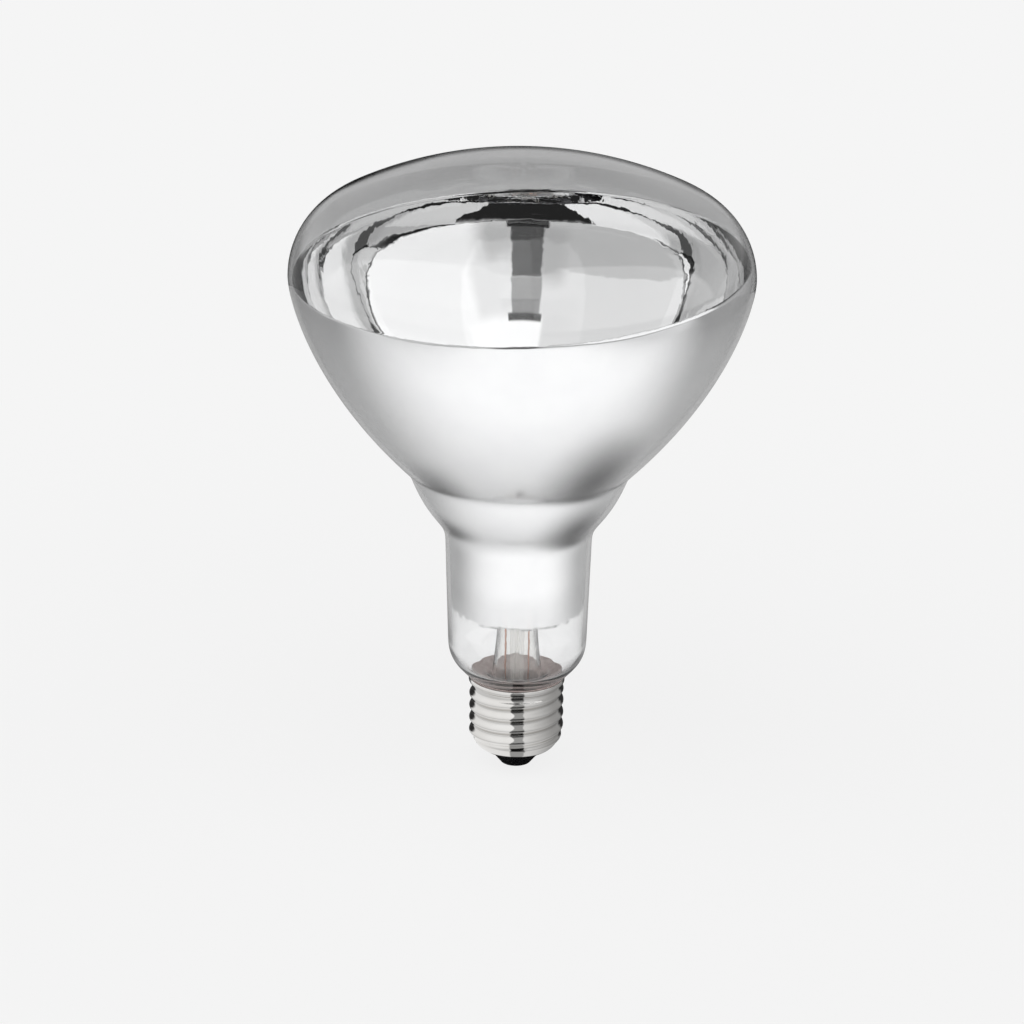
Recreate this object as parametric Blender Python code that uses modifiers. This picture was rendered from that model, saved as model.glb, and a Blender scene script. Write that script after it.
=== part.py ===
"""Hard glass reflector bulb for radiant heat, with a screw cap.

The bulb stands on its cap, as it would in a lamp holder below it: +Z runs up
its axis, out of the clear face, and the origin is the tip of the centre
contact. Lengths are in millimetres until MM turns them into metres.
"""
import math

import bmesh
import bpy
from mathutils import Matrix, Vector

MM = 0.001

# Driving dimensions: outline of the blown bulb, from the cap up
BULB_DIAMETER = 125.0
FACE_EDGE_RADIUS = 22.9
FACE_DOME_RADIUS = 113.0
BOWL_DEPTH = 54.3
BOWL_FOOT_DIAMETER = 60.5
BOWL_FOOT_ANGLE = 45.9
BOWL_FOOT_PULL = 37.8
BOWL_RIM_PULL = 5.1
BULGE_HEIGHT = 20.3
BULGE_FOOT_ANGLE = 19.7
BULGE_FOOT_PULL = 15.8
BULGE_NECK_PULL = 6.8
NECK_LENGTH = 30.1
NECK_TOP_DIAMETER = 40.1
NECK_FOOT_DIAMETER = 38.2
SHOULDER_RISE = 10.2
SHOULDER_RADIUS = 9.3
SHOULDER_ANGLE = 45.0
NECK_LEDGE = 0.75
THROAT_GAP = 0.6
SKIRT_LENGTH = 11.3
GLASS_WALL = 1.1

# Driving dimensions: mirror coating inside the bowl and the neck
COATING_THICKNESS = 0.2
COATING_GAP = 0.05
COATING_EDGE_RISE = 3.0
COATING_EDGE_TILT = 4.5
COATING_EDGE_TURN = 36.0
COATING_NECK_RISE = 10.2

# Driving dimensions: screw cap
CAP_HEIGHT = 27.0
CAP_CREST_DIAMETER = 26.2
CAP_MOUTH_DIAMETER = 26.6
CAP_MOUTH_LENGTH = 1.6
THREAD_PITCH = 3.629
THREAD_DEPTH = 1.05
THREAD_START = 19.73
THREAD_RUN_OUT = 2.2
CAP_SHEET = 0.3
CAP_LIP_DIAMETER = 16.6
CAP_LIP_HEIGHT = 5.6
CAP_LIP_DEPTH = 4.4

# Driving dimensions: insulator, contact and cement
INSULATOR_TOP = 10.6
INSULATOR_FACE_DIAMETER = 8.2
INSULATOR_FACE_HEIGHT = 0.95
CONTACT_DIAMETER = 5.6
CONTACT_PLATE = 0.5
CONTACT_TIP_DIAMETER = 3.6
CONTACT_TIP_HEIGHT = 0.4
SEAL_CLEARANCE = 2.4
CEMENT_GAP = 0.15
SOLDER_DIAMETER = 2.4
SOLDER_HEIGHT = 1.1

# Driving dimensions: glass stem and the wires that it carries
STEM_TUBE_DIAMETER = 11.0
STEM_WALL = 1.0
STEM_TUBE_FOOT_RISE = 29.0
FLARE_START = 0.6
FLARE_END = 0.35
PRESS_RISE = 16.0
PRESS_WIDTH = 13.0
PRESS_THICKNESS = 4.6
PRESS_HEIGHT = 12.0
ARBOR_DIAMETER = 3.2
BUTTON_DIAMETER = 5.6
EXHAUST_DIAMETER = 4.0
EXHAUST_BORE = 2.4
EXHAUST_TIP_HEIGHT = 13.7
LEAD_DIAMETER = 0.8
LEAD_SPACING = 8.4
OUTER_LEAD_DIAMETER = 0.5
OUTER_LEAD_SPACING = 6.4

# Driving dimensions: filament and its supports
FILAMENT_RING_DIAMETER = 28.0
FILAMENT_RISE = 12.0
FILAMENT_GAP_ANGLE = 70.0
FILAMENT_WIRE = 0.5
COIL_DIAMETER = 2.6
COIL_TURNS = 18
SUPPORT_COUNT = 5
SUPPORT_WIRE = 0.4
SUPPORT_SLOPE = 3.0

# Clearance between pieces that touch on the real product
SEAT = 0.3

# Facets
BULB_SEGMENTS = 40
CAP_SEGMENTS = 28
STEM_SEGMENTS = 16
SMALL_SEGMENTS = 12
THREAD_ROWS = 5
COIL_STEPS = 6
HOOK_STEPS = 8

# Heights of the outline, each above the one before it
SHOULDER_Z = CAP_HEIGHT + SHOULDER_RISE
NECK_TOP_Z = SHOULDER_Z + NECK_LENGTH
BOWL_FOOT_Z = NECK_TOP_Z + BULGE_HEIGHT
WIDEST_Z = BOWL_FOOT_Z + BOWL_DEPTH
SKIRT_Z = CAP_HEIGHT - SKIRT_LENGTH
FILAMENT_Z = BOWL_FOOT_Z + FILAMENT_RISE

# Radii that fit one piece to the next
BULB_R = BULB_DIAMETER / 2
CREST_R = CAP_CREST_DIAMETER / 2
ROOT_R = CREST_R - THREAD_DEPTH
ROOT_INNER_R = ROOT_R - CAP_SHEET
MOUTH_R = CAP_MOUTH_DIAMETER / 2
MOUTH_INNER_R = MOUTH_R - CAP_SHEET
SKIRT_R = ROOT_INNER_R - SEAL_CLEARANCE
THROAT_R = MOUTH_INNER_R - THROAT_GAP
MOUTH_FOOT_Z = CAP_HEIGHT - CAP_MOUTH_LENGTH
SKIRT_TOP_Z = MOUTH_FOOT_Z - SEAT
NOTCH_Z = MOUTH_FOOT_Z + SEAT
NOTCH_LEAD_Z = NOTCH_Z + SEAT + OUTER_LEAD_DIAMETER / 2
CONTACT_SEAT_Z = CONTACT_TIP_HEIGHT + CONTACT_PLATE + SEAT
STEM_TOP_Z = SKIRT_Z + STEM_TUBE_FOOT_RISE + PRESS_RISE
PRESS_FOOT_Z = STEM_TOP_Z - PRESS_HEIGHT
STEM_CEILING_Z = PRESS_FOOT_Z
COIL_R = COIL_DIAMETER / 2
HOOK_R = COIL_R + FILAMENT_WIRE / 2 + SEAT + SUPPORT_WIRE / 2
HOOK_FOOT_Z = FILAMENT_Z - HOOK_R
BUTTON_Z = HOOK_FOOT_Z - SUPPORT_SLOPE


def clear_scene():
    """Remove what the scene holds and return the part and cutter collections."""
    for item in list(bpy.data.objects):
        bpy.data.objects.remove(item, do_unlink=True)
    part = bpy.data.collections.new("hard_glass_bulb")
    cutters = bpy.data.collections.new("cutters")
    for collection in (part, cutters):
        bpy.context.scene.collection.children.link(collection)
    return part, cutters


def material(name, color, roughness, metallic=0.0, transmission=0.0):
    """A Principled material with the part's colour and finish."""
    made = bpy.data.materials.new(name)
    made.use_nodes = True
    shader = made.node_tree.nodes["Principled BSDF"]
    shader.inputs["Base Color"].default_value = (*color, 1.0)
    shader.inputs["Roughness"].default_value = roughness
    shader.inputs["Metallic"].default_value = metallic
    shader.inputs["Transmission Weight"].default_value = transmission
    made.diffuse_color = (*color, 1.0)
    return made


def add_object(name, data, collection, surface=None):
    """Link data to the scene as an object with one material."""
    item = bpy.data.objects.new(name, data)
    collection.objects.link(item)
    if surface is not None:
        data.materials.append(surface)
    return item


def arc(center, radius, start, end, count):
    """Points of a circular arc in the (r, z) plane, angles in degrees."""
    points = []
    for step in range(count + 1):
        angle = math.radians(start + (end - start) * step / count)
        points.append((center[0] + radius * math.cos(angle), center[1] + radius * math.sin(angle)))
    return points


def bezier(start, start_handle, end_handle, end, count):
    """Points of a cubic curve in the (r, z) plane, without its first one."""
    points = []
    for step in range(1, count + 1):
        t = step / count
        weights = ((1 - t) ** 3, 3 * (1 - t) ** 2 * t, 3 * (1 - t) * t ** 2, t ** 3)
        corners = (start, start_handle, end_handle, end)
        r = sum(weight * corner[0] for weight, corner in zip(weights, corners))
        z = sum(weight * corner[1] for weight, corner in zip(weights, corners))
        points.append((r, z))
    return points


def offset_inward(points, distance):
    """Move an outline that runs down its outer side inward by a wall's distance."""
    moved = []
    for index, point in enumerate(points):
        before = Vector(points[max(index - 1, 0)])
        after = Vector(points[min(index + 1, len(points) - 1)])
        here = Vector(point)
        runs = [run.normalized() for run in (here - before, after - here) if run.length > 1e-9]
        normals = [Vector((run.y, -run.x)) for run in runs]
        middle = sum(normals, Vector((0.0, 0.0))).normalized()
        stretch = 1.0 / max(middle.dot(normals[0]), 0.5)
        shifted = here + middle * distance * stretch
        moved.append((max(shifted.x, 0.0), shifted.y))
    if points[0][0] == 0.0:
        moved[0] = (0.0, points[0][1] - distance)
    return moved


def cut_outline(points, low, high):
    """The stretch of a falling outline between two heights."""
    kept = []
    for start, end in zip(points, points[1:]):
        for height in (high, low):
            if start[1] > height > end[1]:
                share = (start[1] - height) / (start[1] - end[1])
                kept.append((start[0] + (end[0] - start[0]) * share, height))
        if low < end[1] < high:
            kept.append(end)
    return sorted(kept, key=lambda point: -point[1])


def spin(name, outline, segments, collection, surface=None, closed=False):
    """Turn an outline about the Z axis with a Screw modifier."""
    mesh = bpy.data.meshes.new(name)
    points = [(r * MM, 0.0, z * MM) for r, z in outline]
    edges = [(index, index + 1) for index in range(len(points) - 1)]
    if closed:
        edges.append((len(points) - 1, 0))
    mesh.from_pydata(points, edges, [])
    item = add_object(name, mesh, collection, surface)
    screw = item.modifiers.new("Spin", "SCREW")
    screw.axis = "Z"
    screw.angle = math.tau
    screw.steps = segments
    screw.render_steps = segments
    screw.use_merge_vertices = True
    screw.merge_threshold = 1e-6
    screw.use_smooth_shade = True
    return item


def bake(item):
    """Replace an object's mesh with its evaluated one."""
    depsgraph = bpy.context.evaluated_depsgraph_get()
    evaluated = item.evaluated_get(depsgraph)
    mesh = bpy.data.meshes.new_from_object(evaluated)
    item.modifiers.clear()
    item.data = mesh
    return item


def block(name, size, place, collection):
    """A box of the given size about a place, kept as a cutter or a guide."""
    mesh = bpy.data.meshes.new(name)
    form = bmesh.new()
    bmesh.ops.create_cube(form, size=1.0)
    bmesh.ops.scale(form, vec=Vector(size) * MM, verts=form.verts)
    form.to_mesh(mesh)
    form.free()
    item = add_object(name, mesh, collection)
    item.location = Vector(place) * MM
    item.hide_render = True
    item.display_type = "WIRE"
    return item


def boolean(item, other, operation):
    """Cut or join an object with a closed form."""
    step = item.modifiers.new("Boolean", "BOOLEAN")
    step.operation = operation
    step.solver = "EXACT"
    step.object = other


def smooth_path(points, steps):
    """A smooth curve through all points, each stretch cut into equal steps."""
    knots = [Vector(point) for point in points]
    knots = [knots[0] * 2 - knots[1]] + knots + [knots[-1] * 2 - knots[-2]]
    path = []
    for a, b, c, d in zip(knots, knots[1:], knots[2:], knots[3:]):
        for step in range(steps):
            t = step / steps
            bend = (2 * a - 5 * b + 4 * c - d) * t ** 2 + (3 * b - a - 3 * c + d) * t ** 3
            path.append(b + (c - a) * t / 2 + bend / 2)
    path.append(knots[-2])
    return path


def wire(name, path, diameter, collection, surface):
    """A round wire along a path, with filled ends."""
    curve = bpy.data.curves.new(name, "CURVE")
    curve.dimensions = "3D"
    curve.bevel_depth = diameter / 2 * MM
    curve.bevel_resolution = 2
    curve.use_fill_caps = True
    spline = curve.splines.new("POLY")
    spline.points.add(len(path) - 1)
    for point, place in zip(spline.points, path):
        point.co = (place[0] * MM, place[1] * MM, place[2] * MM, 1.0)
    return add_object(name, curve, collection, surface)


def bulb_outline():
    """Outer outline of the blown glass, from the middle of the face to its skirt."""
    edge_center = (BULB_R - FACE_EDGE_RADIUS, WIDEST_Z)
    reach = FACE_DOME_RADIUS - FACE_EDGE_RADIUS
    dome_z = WIDEST_Z - math.sqrt(reach ** 2 - edge_center[0] ** 2)
    tangent = math.degrees(math.atan2(WIDEST_Z - dome_z, edge_center[0]))
    face = arc((0.0, dome_z), FACE_DOME_RADIUS, 90, tangent, 3)
    face[0] = (0.0, face[0][1])
    edge = arc(edge_center, FACE_EDGE_RADIUS, tangent, 0, 4)[1:]
    rim = edge[-1]
    foot = (BOWL_FOOT_DIAMETER / 2, BOWL_FOOT_Z)
    tilt = math.radians(BOWL_FOOT_ANGLE)
    foot_handle = (foot[0] + BOWL_FOOT_PULL * math.sin(tilt), foot[1] + BOWL_FOOT_PULL * math.cos(tilt))
    bowl = bezier(rim, (rim[0], rim[1] - BOWL_RIM_PULL), foot_handle, foot, 7)
    turn = math.radians(BULGE_FOOT_ANGLE)
    bulge_handle = (foot[0] - BULGE_FOOT_PULL * math.sin(turn), foot[1] - BULGE_FOOT_PULL * math.cos(turn))
    neck = (NECK_TOP_DIAMETER / 2, NECK_TOP_Z)
    bulge = bezier(foot, bulge_handle, (neck[0], neck[1] + BULGE_NECK_PULL), neck, 5)
    shoulder_center = (NECK_FOOT_DIAMETER / 2 - SHOULDER_RADIUS, SHOULDER_Z)
    shoulder = arc(shoulder_center, SHOULDER_RADIUS, 0, -SHOULDER_ANGLE, 3)
    ledge = (MOUTH_INNER_R + NECK_LEDGE, CAP_HEIGHT + NECK_LEDGE)
    skirt = [(THROAT_R, CAP_HEIGHT), (SKIRT_R, SKIRT_TOP_Z), (SKIRT_R, SKIRT_Z)]
    return face + edge + bowl + bulge + shoulder + [ledge] + skirt


def bulb_envelope(part, surface):
    """The glass: one blown wall, open at the skirt where the stem is sealed in."""
    outer = bulb_outline()
    inner = offset_inward(outer, GLASS_WALL)
    return spin("bulb_envelope", outer + inner[::-1], BULB_SEGMENTS, part, surface)


def reflector_coating(part, cutters, surface):
    """The mirror layer on the glass, from a tilted edge down into the neck."""
    low = SHOULDER_Z + COATING_NECK_RISE
    high = WIDEST_Z + COATING_EDGE_RISE + BULB_R * math.tan(math.radians(COATING_EDGE_TILT)) + SEAT
    outline = bulb_outline()
    outer = cut_outline(offset_inward(outline, GLASS_WALL + COATING_GAP), low, high)
    depth = GLASS_WALL + COATING_GAP + COATING_THICKNESS
    inner = cut_outline(offset_inward(outline, depth), low, high)
    coating = spin("reflector_coating", outer + inner[::-1], BULB_SEGMENTS, part, surface, closed=True)
    cut_height = BULB_DIAMETER
    cutter = block("coating_edge_cutter", (2 * BULB_DIAMETER, 2 * BULB_DIAMETER, cut_height),
                   (0.0, 0.0, 0.0), cutters)
    turn = Matrix.Rotation(math.radians(COATING_EDGE_TURN), 4, "Z")
    tilt = Matrix.Rotation(-math.radians(COATING_EDGE_TILT), 4, "Y")
    lift = Matrix.Translation((0.0, 0.0, cut_height / 2 * MM))
    place = Matrix.Translation((0.0, 0.0, (WIDEST_Z + COATING_EDGE_RISE) * MM))
    cutter.matrix_world = place @ turn @ tilt @ lift
    boolean(coating, cutter, "DIFFERENCE")
    return coating


def stem_outline():
    """Stem glass: button, arbor, tube and flare outside, then the open tube inside."""
    tube_r = STEM_TUBE_DIAMETER / 2
    flare_r = SKIRT_R - GLASS_WALL - SEAT
    tube_foot_z = SKIRT_Z + STEM_TUBE_FOOT_RISE
    button_r = BUTTON_DIAMETER / 2
    arbor_r = ARBOR_DIAMETER / 2
    waist = math.degrees(math.asin(arbor_r / button_r))
    button = arc((0.0, BUTTON_Z), button_r, 90, -90 + waist, 5)
    button[0] = (0.0, button[0][1])
    arbor = [(arbor_r, STEM_TOP_Z + arbor_r), (arbor_r * 1.4, STEM_TOP_Z), (tube_r, PRESS_FOOT_Z)]
    flare = bezier((tube_r, tube_foot_z), (tube_r, SKIRT_Z + STEM_TUBE_FOOT_RISE * FLARE_START),
                   (flare_r, SKIRT_Z + STEM_TUBE_FOOT_RISE * FLARE_END), (flare_r, SKIRT_Z), 4)
    bore_r = tube_r - STEM_WALL
    inner_r = flare_r - STEM_WALL
    mouth = bezier((inner_r, SKIRT_Z), (inner_r, SKIRT_Z + STEM_TUBE_FOOT_RISE * FLARE_END),
                   (bore_r, SKIRT_Z + STEM_TUBE_FOOT_RISE * FLARE_START), (bore_r, tube_foot_z), 4)
    ceiling = [(bore_r, STEM_CEILING_Z - STEM_WALL), (bore_r - STEM_WALL, STEM_CEILING_Z), (0.0, STEM_CEILING_Z)]
    return button + arbor + [(tube_r, tube_foot_z)] + flare + [(inner_r, SKIRT_Z)] + mouth + ceiling


def stem_glass(part, cutters, surface):
    """The pinched stem: a flared tube, a flat press across it and the arbor above."""
    stem = spin("stem_glass", stem_outline(), STEM_SEGMENTS, part, surface)
    press_z = PRESS_FOOT_Z + PRESS_HEIGHT / 2 + SEAT
    press = block("press_form", (PRESS_WIDTH, PRESS_THICKNESS, PRESS_HEIGHT), (0.0, 0.0, press_z), cutters)
    rounding = press.modifiers.new("Rounding", "BEVEL")
    rounding.width = PRESS_THICKNESS / 4 * MM
    rounding.segments = 2
    boolean(stem, press, "UNION")
    return stem


def exhaust_tube(part, surface):
    """The pumping tube inside the stem, melted shut at its lower end."""
    outer_r = EXHAUST_DIAMETER / 2
    bore_r = EXHAUST_BORE / 2
    wall = outer_r - bore_r
    top = STEM_CEILING_Z - SEAT
    foot = EXHAUST_TIP_HEIGHT
    outline = [(bore_r, top), (outer_r, top), (outer_r, foot + outer_r)]
    outline += bezier((outer_r, foot + outer_r), (outer_r, foot + outer_r / 2),
                      (outer_r / 3, foot), (0.0, foot), 3)
    outline += [(0.0, foot + wall), (bore_r, foot + outer_r + wall), (bore_r, top)]
    return spin("exhaust_tube", outline, SMALL_SEGMENTS, part, surface)


def filament_point(angle, height=0.0):
    """A point on the filament's ring, angles in degrees from the +X axis."""
    turn = math.radians(angle)
    ring_r = FILAMENT_RING_DIAMETER / 2
    return Vector((ring_r * math.cos(turn), ring_r * math.sin(turn), FILAMENT_Z + height))


def filament_angles():
    """Start and end of the filament, with its gap behind the arbor."""
    start = 90.0 + FILAMENT_GAP_ANGLE / 2
    return start, start + 360.0 - FILAMENT_GAP_ANGLE


def filament(part, surface):
    """A coil of wire bent into a ring, its two ends drawn out straight."""
    start, end = filament_angles()
    count = COIL_TURNS * COIL_STEPS
    path = []
    for step in range(count + 1):
        angle = start + (end - start) * step / count
        phase = math.tau * step / COIL_STEPS
        fade = min(step, count - step, COIL_STEPS) / COIL_STEPS
        outward = Vector((math.cos(math.radians(angle)), math.sin(math.radians(angle)), 0.0))
        swing = outward * math.cos(phase) + Vector((0.0, 0.0, math.sin(phase)))
        path.append(filament_point(angle) + swing * COIL_R * fade)
    return wire("filament", path, FILAMENT_WIRE, part, surface)


def filament_supports(part, surface):
    """Hooks from the glass button, each with an eye round the coil."""
    start, end = filament_angles()
    ring_r = FILAMENT_RING_DIAMETER / 2
    button_edge = BUTTON_DIAMETER / 2 + SEAT
    path = [Vector((button_edge, 0.0, BUTTON_Z)), Vector((ring_r - 2 * HOOK_R, 0.0, HOOK_FOOT_Z))]
    for r, z in arc((ring_r, FILAMENT_Z), HOOK_R, -90, 200, HOOK_STEPS):
        path.append(Vector((r, 0.0, z)))
    first = wire("filament_support_1", path, SUPPORT_WIRE, part, surface)
    for index in range(SUPPORT_COUNT):
        support = first
        if index:
            support = bpy.data.objects.new("filament_support_%d" % (index + 1), first.data)
            part.objects.link(support)
        share = (index + 0.5) / SUPPORT_COUNT
        support.rotation_euler.z = math.radians(start + (end - start) * share)


def inner_leads(part, surface):
    """Two stiff wires from the press up to the ends of the filament."""
    start, end = filament_angles()
    drop = LEAD_DIAMETER / 2 + FILAMENT_WIRE / 2 + SEAT
    for side, name, angle in ((-1, "lead_inner_left", start), (1, "lead_inner_right", end)):
        top = filament_point(angle, -drop)
        foot = Vector((side * LEAD_SPACING / 2, 0.0, PRESS_FOOT_Z + PRESS_HEIGHT + 2 * SEAT))
        rise = top.z - foot.z
        knee = Vector((foot.x, 0.0, foot.z + rise * 0.25))
        bend = Vector((top.x, top.y, top.z - rise * 0.3))
        path = smooth_path([foot, knee, bend, top], 4)
        wire(name, path, LEAD_DIAMETER, part, surface)


def cap_outline():
    """Outer outline of the cap's sheet before its thread is rolled, rim to lip."""
    row = THREAD_PITCH / THREAD_ROWS
    lip_top = CAP_LIP_HEIGHT + CAP_LIP_DEPTH
    rows = int((MOUTH_FOOT_Z - lip_top) / row)
    outline = [(MOUTH_R, CAP_HEIGHT), (MOUTH_R, MOUTH_FOOT_Z)]
    outline += [(ROOT_R, MOUTH_FOOT_Z - row * (index + 1)) for index in range(rows - 1)]
    lip_r = CAP_LIP_DIAMETER / 2
    for step in range(5):
        angle = math.radians(90 * step / 4)
        r = lip_r + (ROOT_R - lip_r) * math.cos(angle)
        outline.append((r, lip_top - CAP_LIP_DEPTH * math.sin(angle)))
    return outline


def thread_wave(x, y, z):
    """How far the rolled thread stands out at a point, 0 to THREAD_DEPTH."""
    top = MOUTH_FOOT_Z
    foot = CAP_LIP_HEIGHT + CAP_LIP_DEPTH / 2
    fade = min(max((top - z) / THREAD_RUN_OUT, 0.0), max((z - foot) / THREAD_RUN_OUT, 0.0), 1.0)
    crest = THREAD_START + THREAD_PITCH * math.atan2(y, x) / math.tau
    phase = math.tau * (z - crest) / THREAD_PITCH
    return THREAD_DEPTH * fade * (0.5 + 0.5 * math.cos(phase))


def cap_shell(part, cutters, surface):
    """The plated sheet: a turned cup with the thread rolled into its wall."""
    shell = bake(spin("cap_shell", cap_outline(), CAP_SEGMENTS, part, surface))
    for vertex in shell.data.vertices:
        x, y, z = vertex.co / MM
        radius = math.hypot(x, y)
        if radius > MOUTH_R - 1e-4:
            continue
        grown = (radius + thread_wave(x, y, z)) / radius
        vertex.co.x *= grown
        vertex.co.y *= grown
    sheet = shell.modifiers.new("Sheet", "SOLIDIFY")
    sheet.thickness = CAP_SHEET * MM
    sheet.offset = -1.0
    sheet.use_even_offset = True
    width = OUTER_LEAD_DIAMETER + 2 * SEAT
    height = CAP_MOUTH_LENGTH
    depth = 4 * CAP_SHEET + 2 * NECK_LEDGE
    notch = block("lead_notch_cutter", (width, depth, height), (0.0, MOUTH_R, NOTCH_Z + height / 2), cutters)
    boolean(shell, notch, "DIFFERENCE")
    return shell


def cap_insulator(part, surface):
    """Black glass cone that fills the cap's lip, with a seat for the contact and a hole for its lead."""
    gap = CAP_SHEET + SEAT
    lip_r = CAP_LIP_DIAMETER / 2
    hole_r = OUTER_LEAD_DIAMETER / 2 + 2 * SEAT
    face_r = INSULATOR_FACE_DIAMETER / 2
    recess_r = CONTACT_DIAMETER / 2 + SEAT
    lip_top = CAP_LIP_HEIGHT + CAP_LIP_DEPTH
    outline = [(hole_r, INSULATOR_TOP), (ROOT_R - gap - SEAT, INSULATOR_TOP)]
    for step in range(5):
        angle = math.radians(90 * step / 4)
        r = lip_r - gap + (ROOT_R - lip_r) * math.cos(angle)
        outline.append((r, lip_top + gap - CAP_LIP_DEPTH * math.sin(angle)))
    outline += [(lip_r - gap, CAP_LIP_HEIGHT), (face_r, INSULATOR_FACE_HEIGHT)]
    outline += [(recess_r, INSULATOR_FACE_HEIGHT), (recess_r, CONTACT_SEAT_Z), (hole_r, CONTACT_SEAT_Z)]
    return spin("cap_insulator", outline, CAP_SEGMENTS, part, surface, closed=True)


def centre_contact(part, surface):
    """Contact plate with its solder tip, flat where it meets the lamp holder."""
    plate_r = CONTACT_DIAMETER / 2
    top = CONTACT_SEAT_Z - SEAT
    tip_r = CONTACT_TIP_DIAMETER / 2
    chamfer = CONTACT_PLATE / 3
    foot = CONTACT_TIP_HEIGHT
    outline = [(0.0, top), (plate_r - chamfer, top), (plate_r, top - chamfer), (plate_r, foot + chamfer)]
    outline += [(plate_r - chamfer, foot), (tip_r + CONTACT_TIP_HEIGHT, foot), (tip_r, 0.0), (0.0, 0.0)]
    return spin("centre_contact", outline, SMALL_SEGMENTS * 2, part, surface)


def basing_cement(part, cutters, surface):
    """The ring of cement between glass and cap, grooved for the side lead."""
    glass_r = SKIRT_R + CEMENT_GAP
    sheet_r = ROOT_INNER_R - CEMENT_GAP
    mouth_r = MOUTH_INNER_R - CEMENT_GAP
    foot = SKIRT_Z + SEAT
    top = CAP_HEIGHT - SEAT
    lean = (THROAT_R - SKIRT_R) / (CAP_HEIGHT - SKIRT_TOP_Z)
    glass_gap = CEMENT_GAP * math.hypot(1.0, lean)
    glass_top_r = SKIRT_R + glass_gap + (top - SKIRT_TOP_Z) * lean
    glass_foot_z = SKIRT_TOP_Z - (glass_gap - CEMENT_GAP) / lean
    outline = [(glass_top_r, top), (mouth_r, top), (mouth_r, MOUTH_FOOT_Z + SEAT)]
    outline += [(sheet_r, MOUTH_FOOT_Z - CEMENT_GAP), (sheet_r, foot), (glass_r, foot), (glass_r, glass_foot_z)]
    ring = spin("basing_cement", outline, CAP_SEGMENTS, part, surface, closed=True)
    width = OUTER_LEAD_DIAMETER + 2 * SEAT
    groove = block("cement_groove_cutter", (width, MOUTH_R, CAP_HEIGHT), (0.0, MOUTH_R, CAP_HEIGHT), cutters)
    boolean(ring, groove, "DIFFERENCE")
    return ring


def outer_leads(part, surface):
    """Two wires from the press through the stem, to the contact and to the rim."""
    reach = OUTER_LEAD_SPACING / 2
    top = STEM_CEILING_Z - SEAT
    tip = EXHAUST_TIP_HEIGHT
    path = [(-reach, 0.0, top), (-reach, 0.0, (top + tip) / 2), (-reach, 0.0, tip + EXHAUST_DIAMETER / 2)]
    path += [(-reach / 2, 0.0, (tip + INSULATOR_TOP) / 2), (0.0, 0.0, INSULATOR_TOP - SEAT)]
    path += [(0.0, 0.0, CONTACT_SEAT_Z)]
    wire("lead_outer_centre", smooth_path(path, 3), OUTER_LEAD_DIAMETER, part, surface)
    groove_r = ROOT_INNER_R - SEAT - OUTER_LEAD_DIAMETER / 2
    below = SKIRT_Z - 4 * OUTER_LEAD_DIAMETER
    path = [(reach, 0.0, top), (reach, 0.0, SKIRT_Z), (reach, groove_r / 2, below), (0.0, groove_r, below + 1.0)]
    path += [(0.0, groove_r, SKIRT_Z + 1.0), (0.0, groove_r, MOUTH_FOOT_Z - 2 * SEAT)]
    path += [(0.0, MOUTH_INNER_R - 2 * SEAT, NOTCH_LEAD_Z), (0.0, MOUTH_R, NOTCH_LEAD_Z)]
    wire("lead_outer_side", smooth_path(path, 3), OUTER_LEAD_DIAMETER, part, surface)


def side_solder(part, surface):
    """The blob that joins the side lead to the cap's rim, at the back."""
    r = SOLDER_DIAMETER / 2
    outline = [(0.0, SOLDER_HEIGHT)]
    outline += bezier((0.0, SOLDER_HEIGHT), (r * 0.6, SOLDER_HEIGHT), (r, SOLDER_HEIGHT / 2), (r, 0.0), 4)
    outline += [(0.0, 0.0)]
    blob = spin("side_solder", outline, SMALL_SEGMENTS, part, surface)
    blob.location = Vector((0.0, MOUTH_R + SEAT, NOTCH_LEAD_Z)) * MM
    blob.rotation_euler.x = -math.pi / 2
    return blob


def main():
    part, cutters = clear_scene()
    glass = material("hard_glass", (0.93, 0.94, 0.93), 0.02, transmission=1.0)
    mirror = material("mirror_coating", (0.88, 0.88, 0.87), 0.12, metallic=1.0)
    tungsten = material("tungsten", (0.22, 0.22, 0.23), 0.45, metallic=1.0)
    molybdenum = material("molybdenum", (0.45, 0.45, 0.46), 0.35, metallic=1.0)
    nickel = material("nickel_wire", (0.62, 0.60, 0.56), 0.3, metallic=1.0)
    copper = material("copper_wire", (0.80, 0.45, 0.32), 0.35, metallic=1.0)
    plated = material("plated_brass", (0.66, 0.63, 0.58), 0.25, metallic=1.0)
    black_glass = material("black_glass", (0.012, 0.012, 0.013), 0.08)
    brass = material("contact_brass", (0.75, 0.65, 0.45), 0.3, metallic=1.0)
    solder = material("solder", (0.56, 0.56, 0.56), 0.4, metallic=1.0)
    cement = material("cement", (0.50, 0.36, 0.29), 0.85)

    bulb_envelope(part, glass)
    reflector_coating(part, cutters, mirror)
    stem_glass(part, cutters, glass)
    exhaust_tube(part, glass)
    filament(part, tungsten)
    filament_supports(part, molybdenum)
    inner_leads(part, nickel)
    outer_leads(part, copper)
    cap_shell(part, cutters, plated)
    cap_insulator(part, black_glass)
    centre_contact(part, brass)
    basing_cement(part, cutters, cement)
    side_solder(part, solder)


main()
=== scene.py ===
"""Looks of the hard glass reflector bulb: fine surfaces, materials, light and camera."""
import math

import bpy
from mathutils import Matrix, Vector, noise


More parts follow.
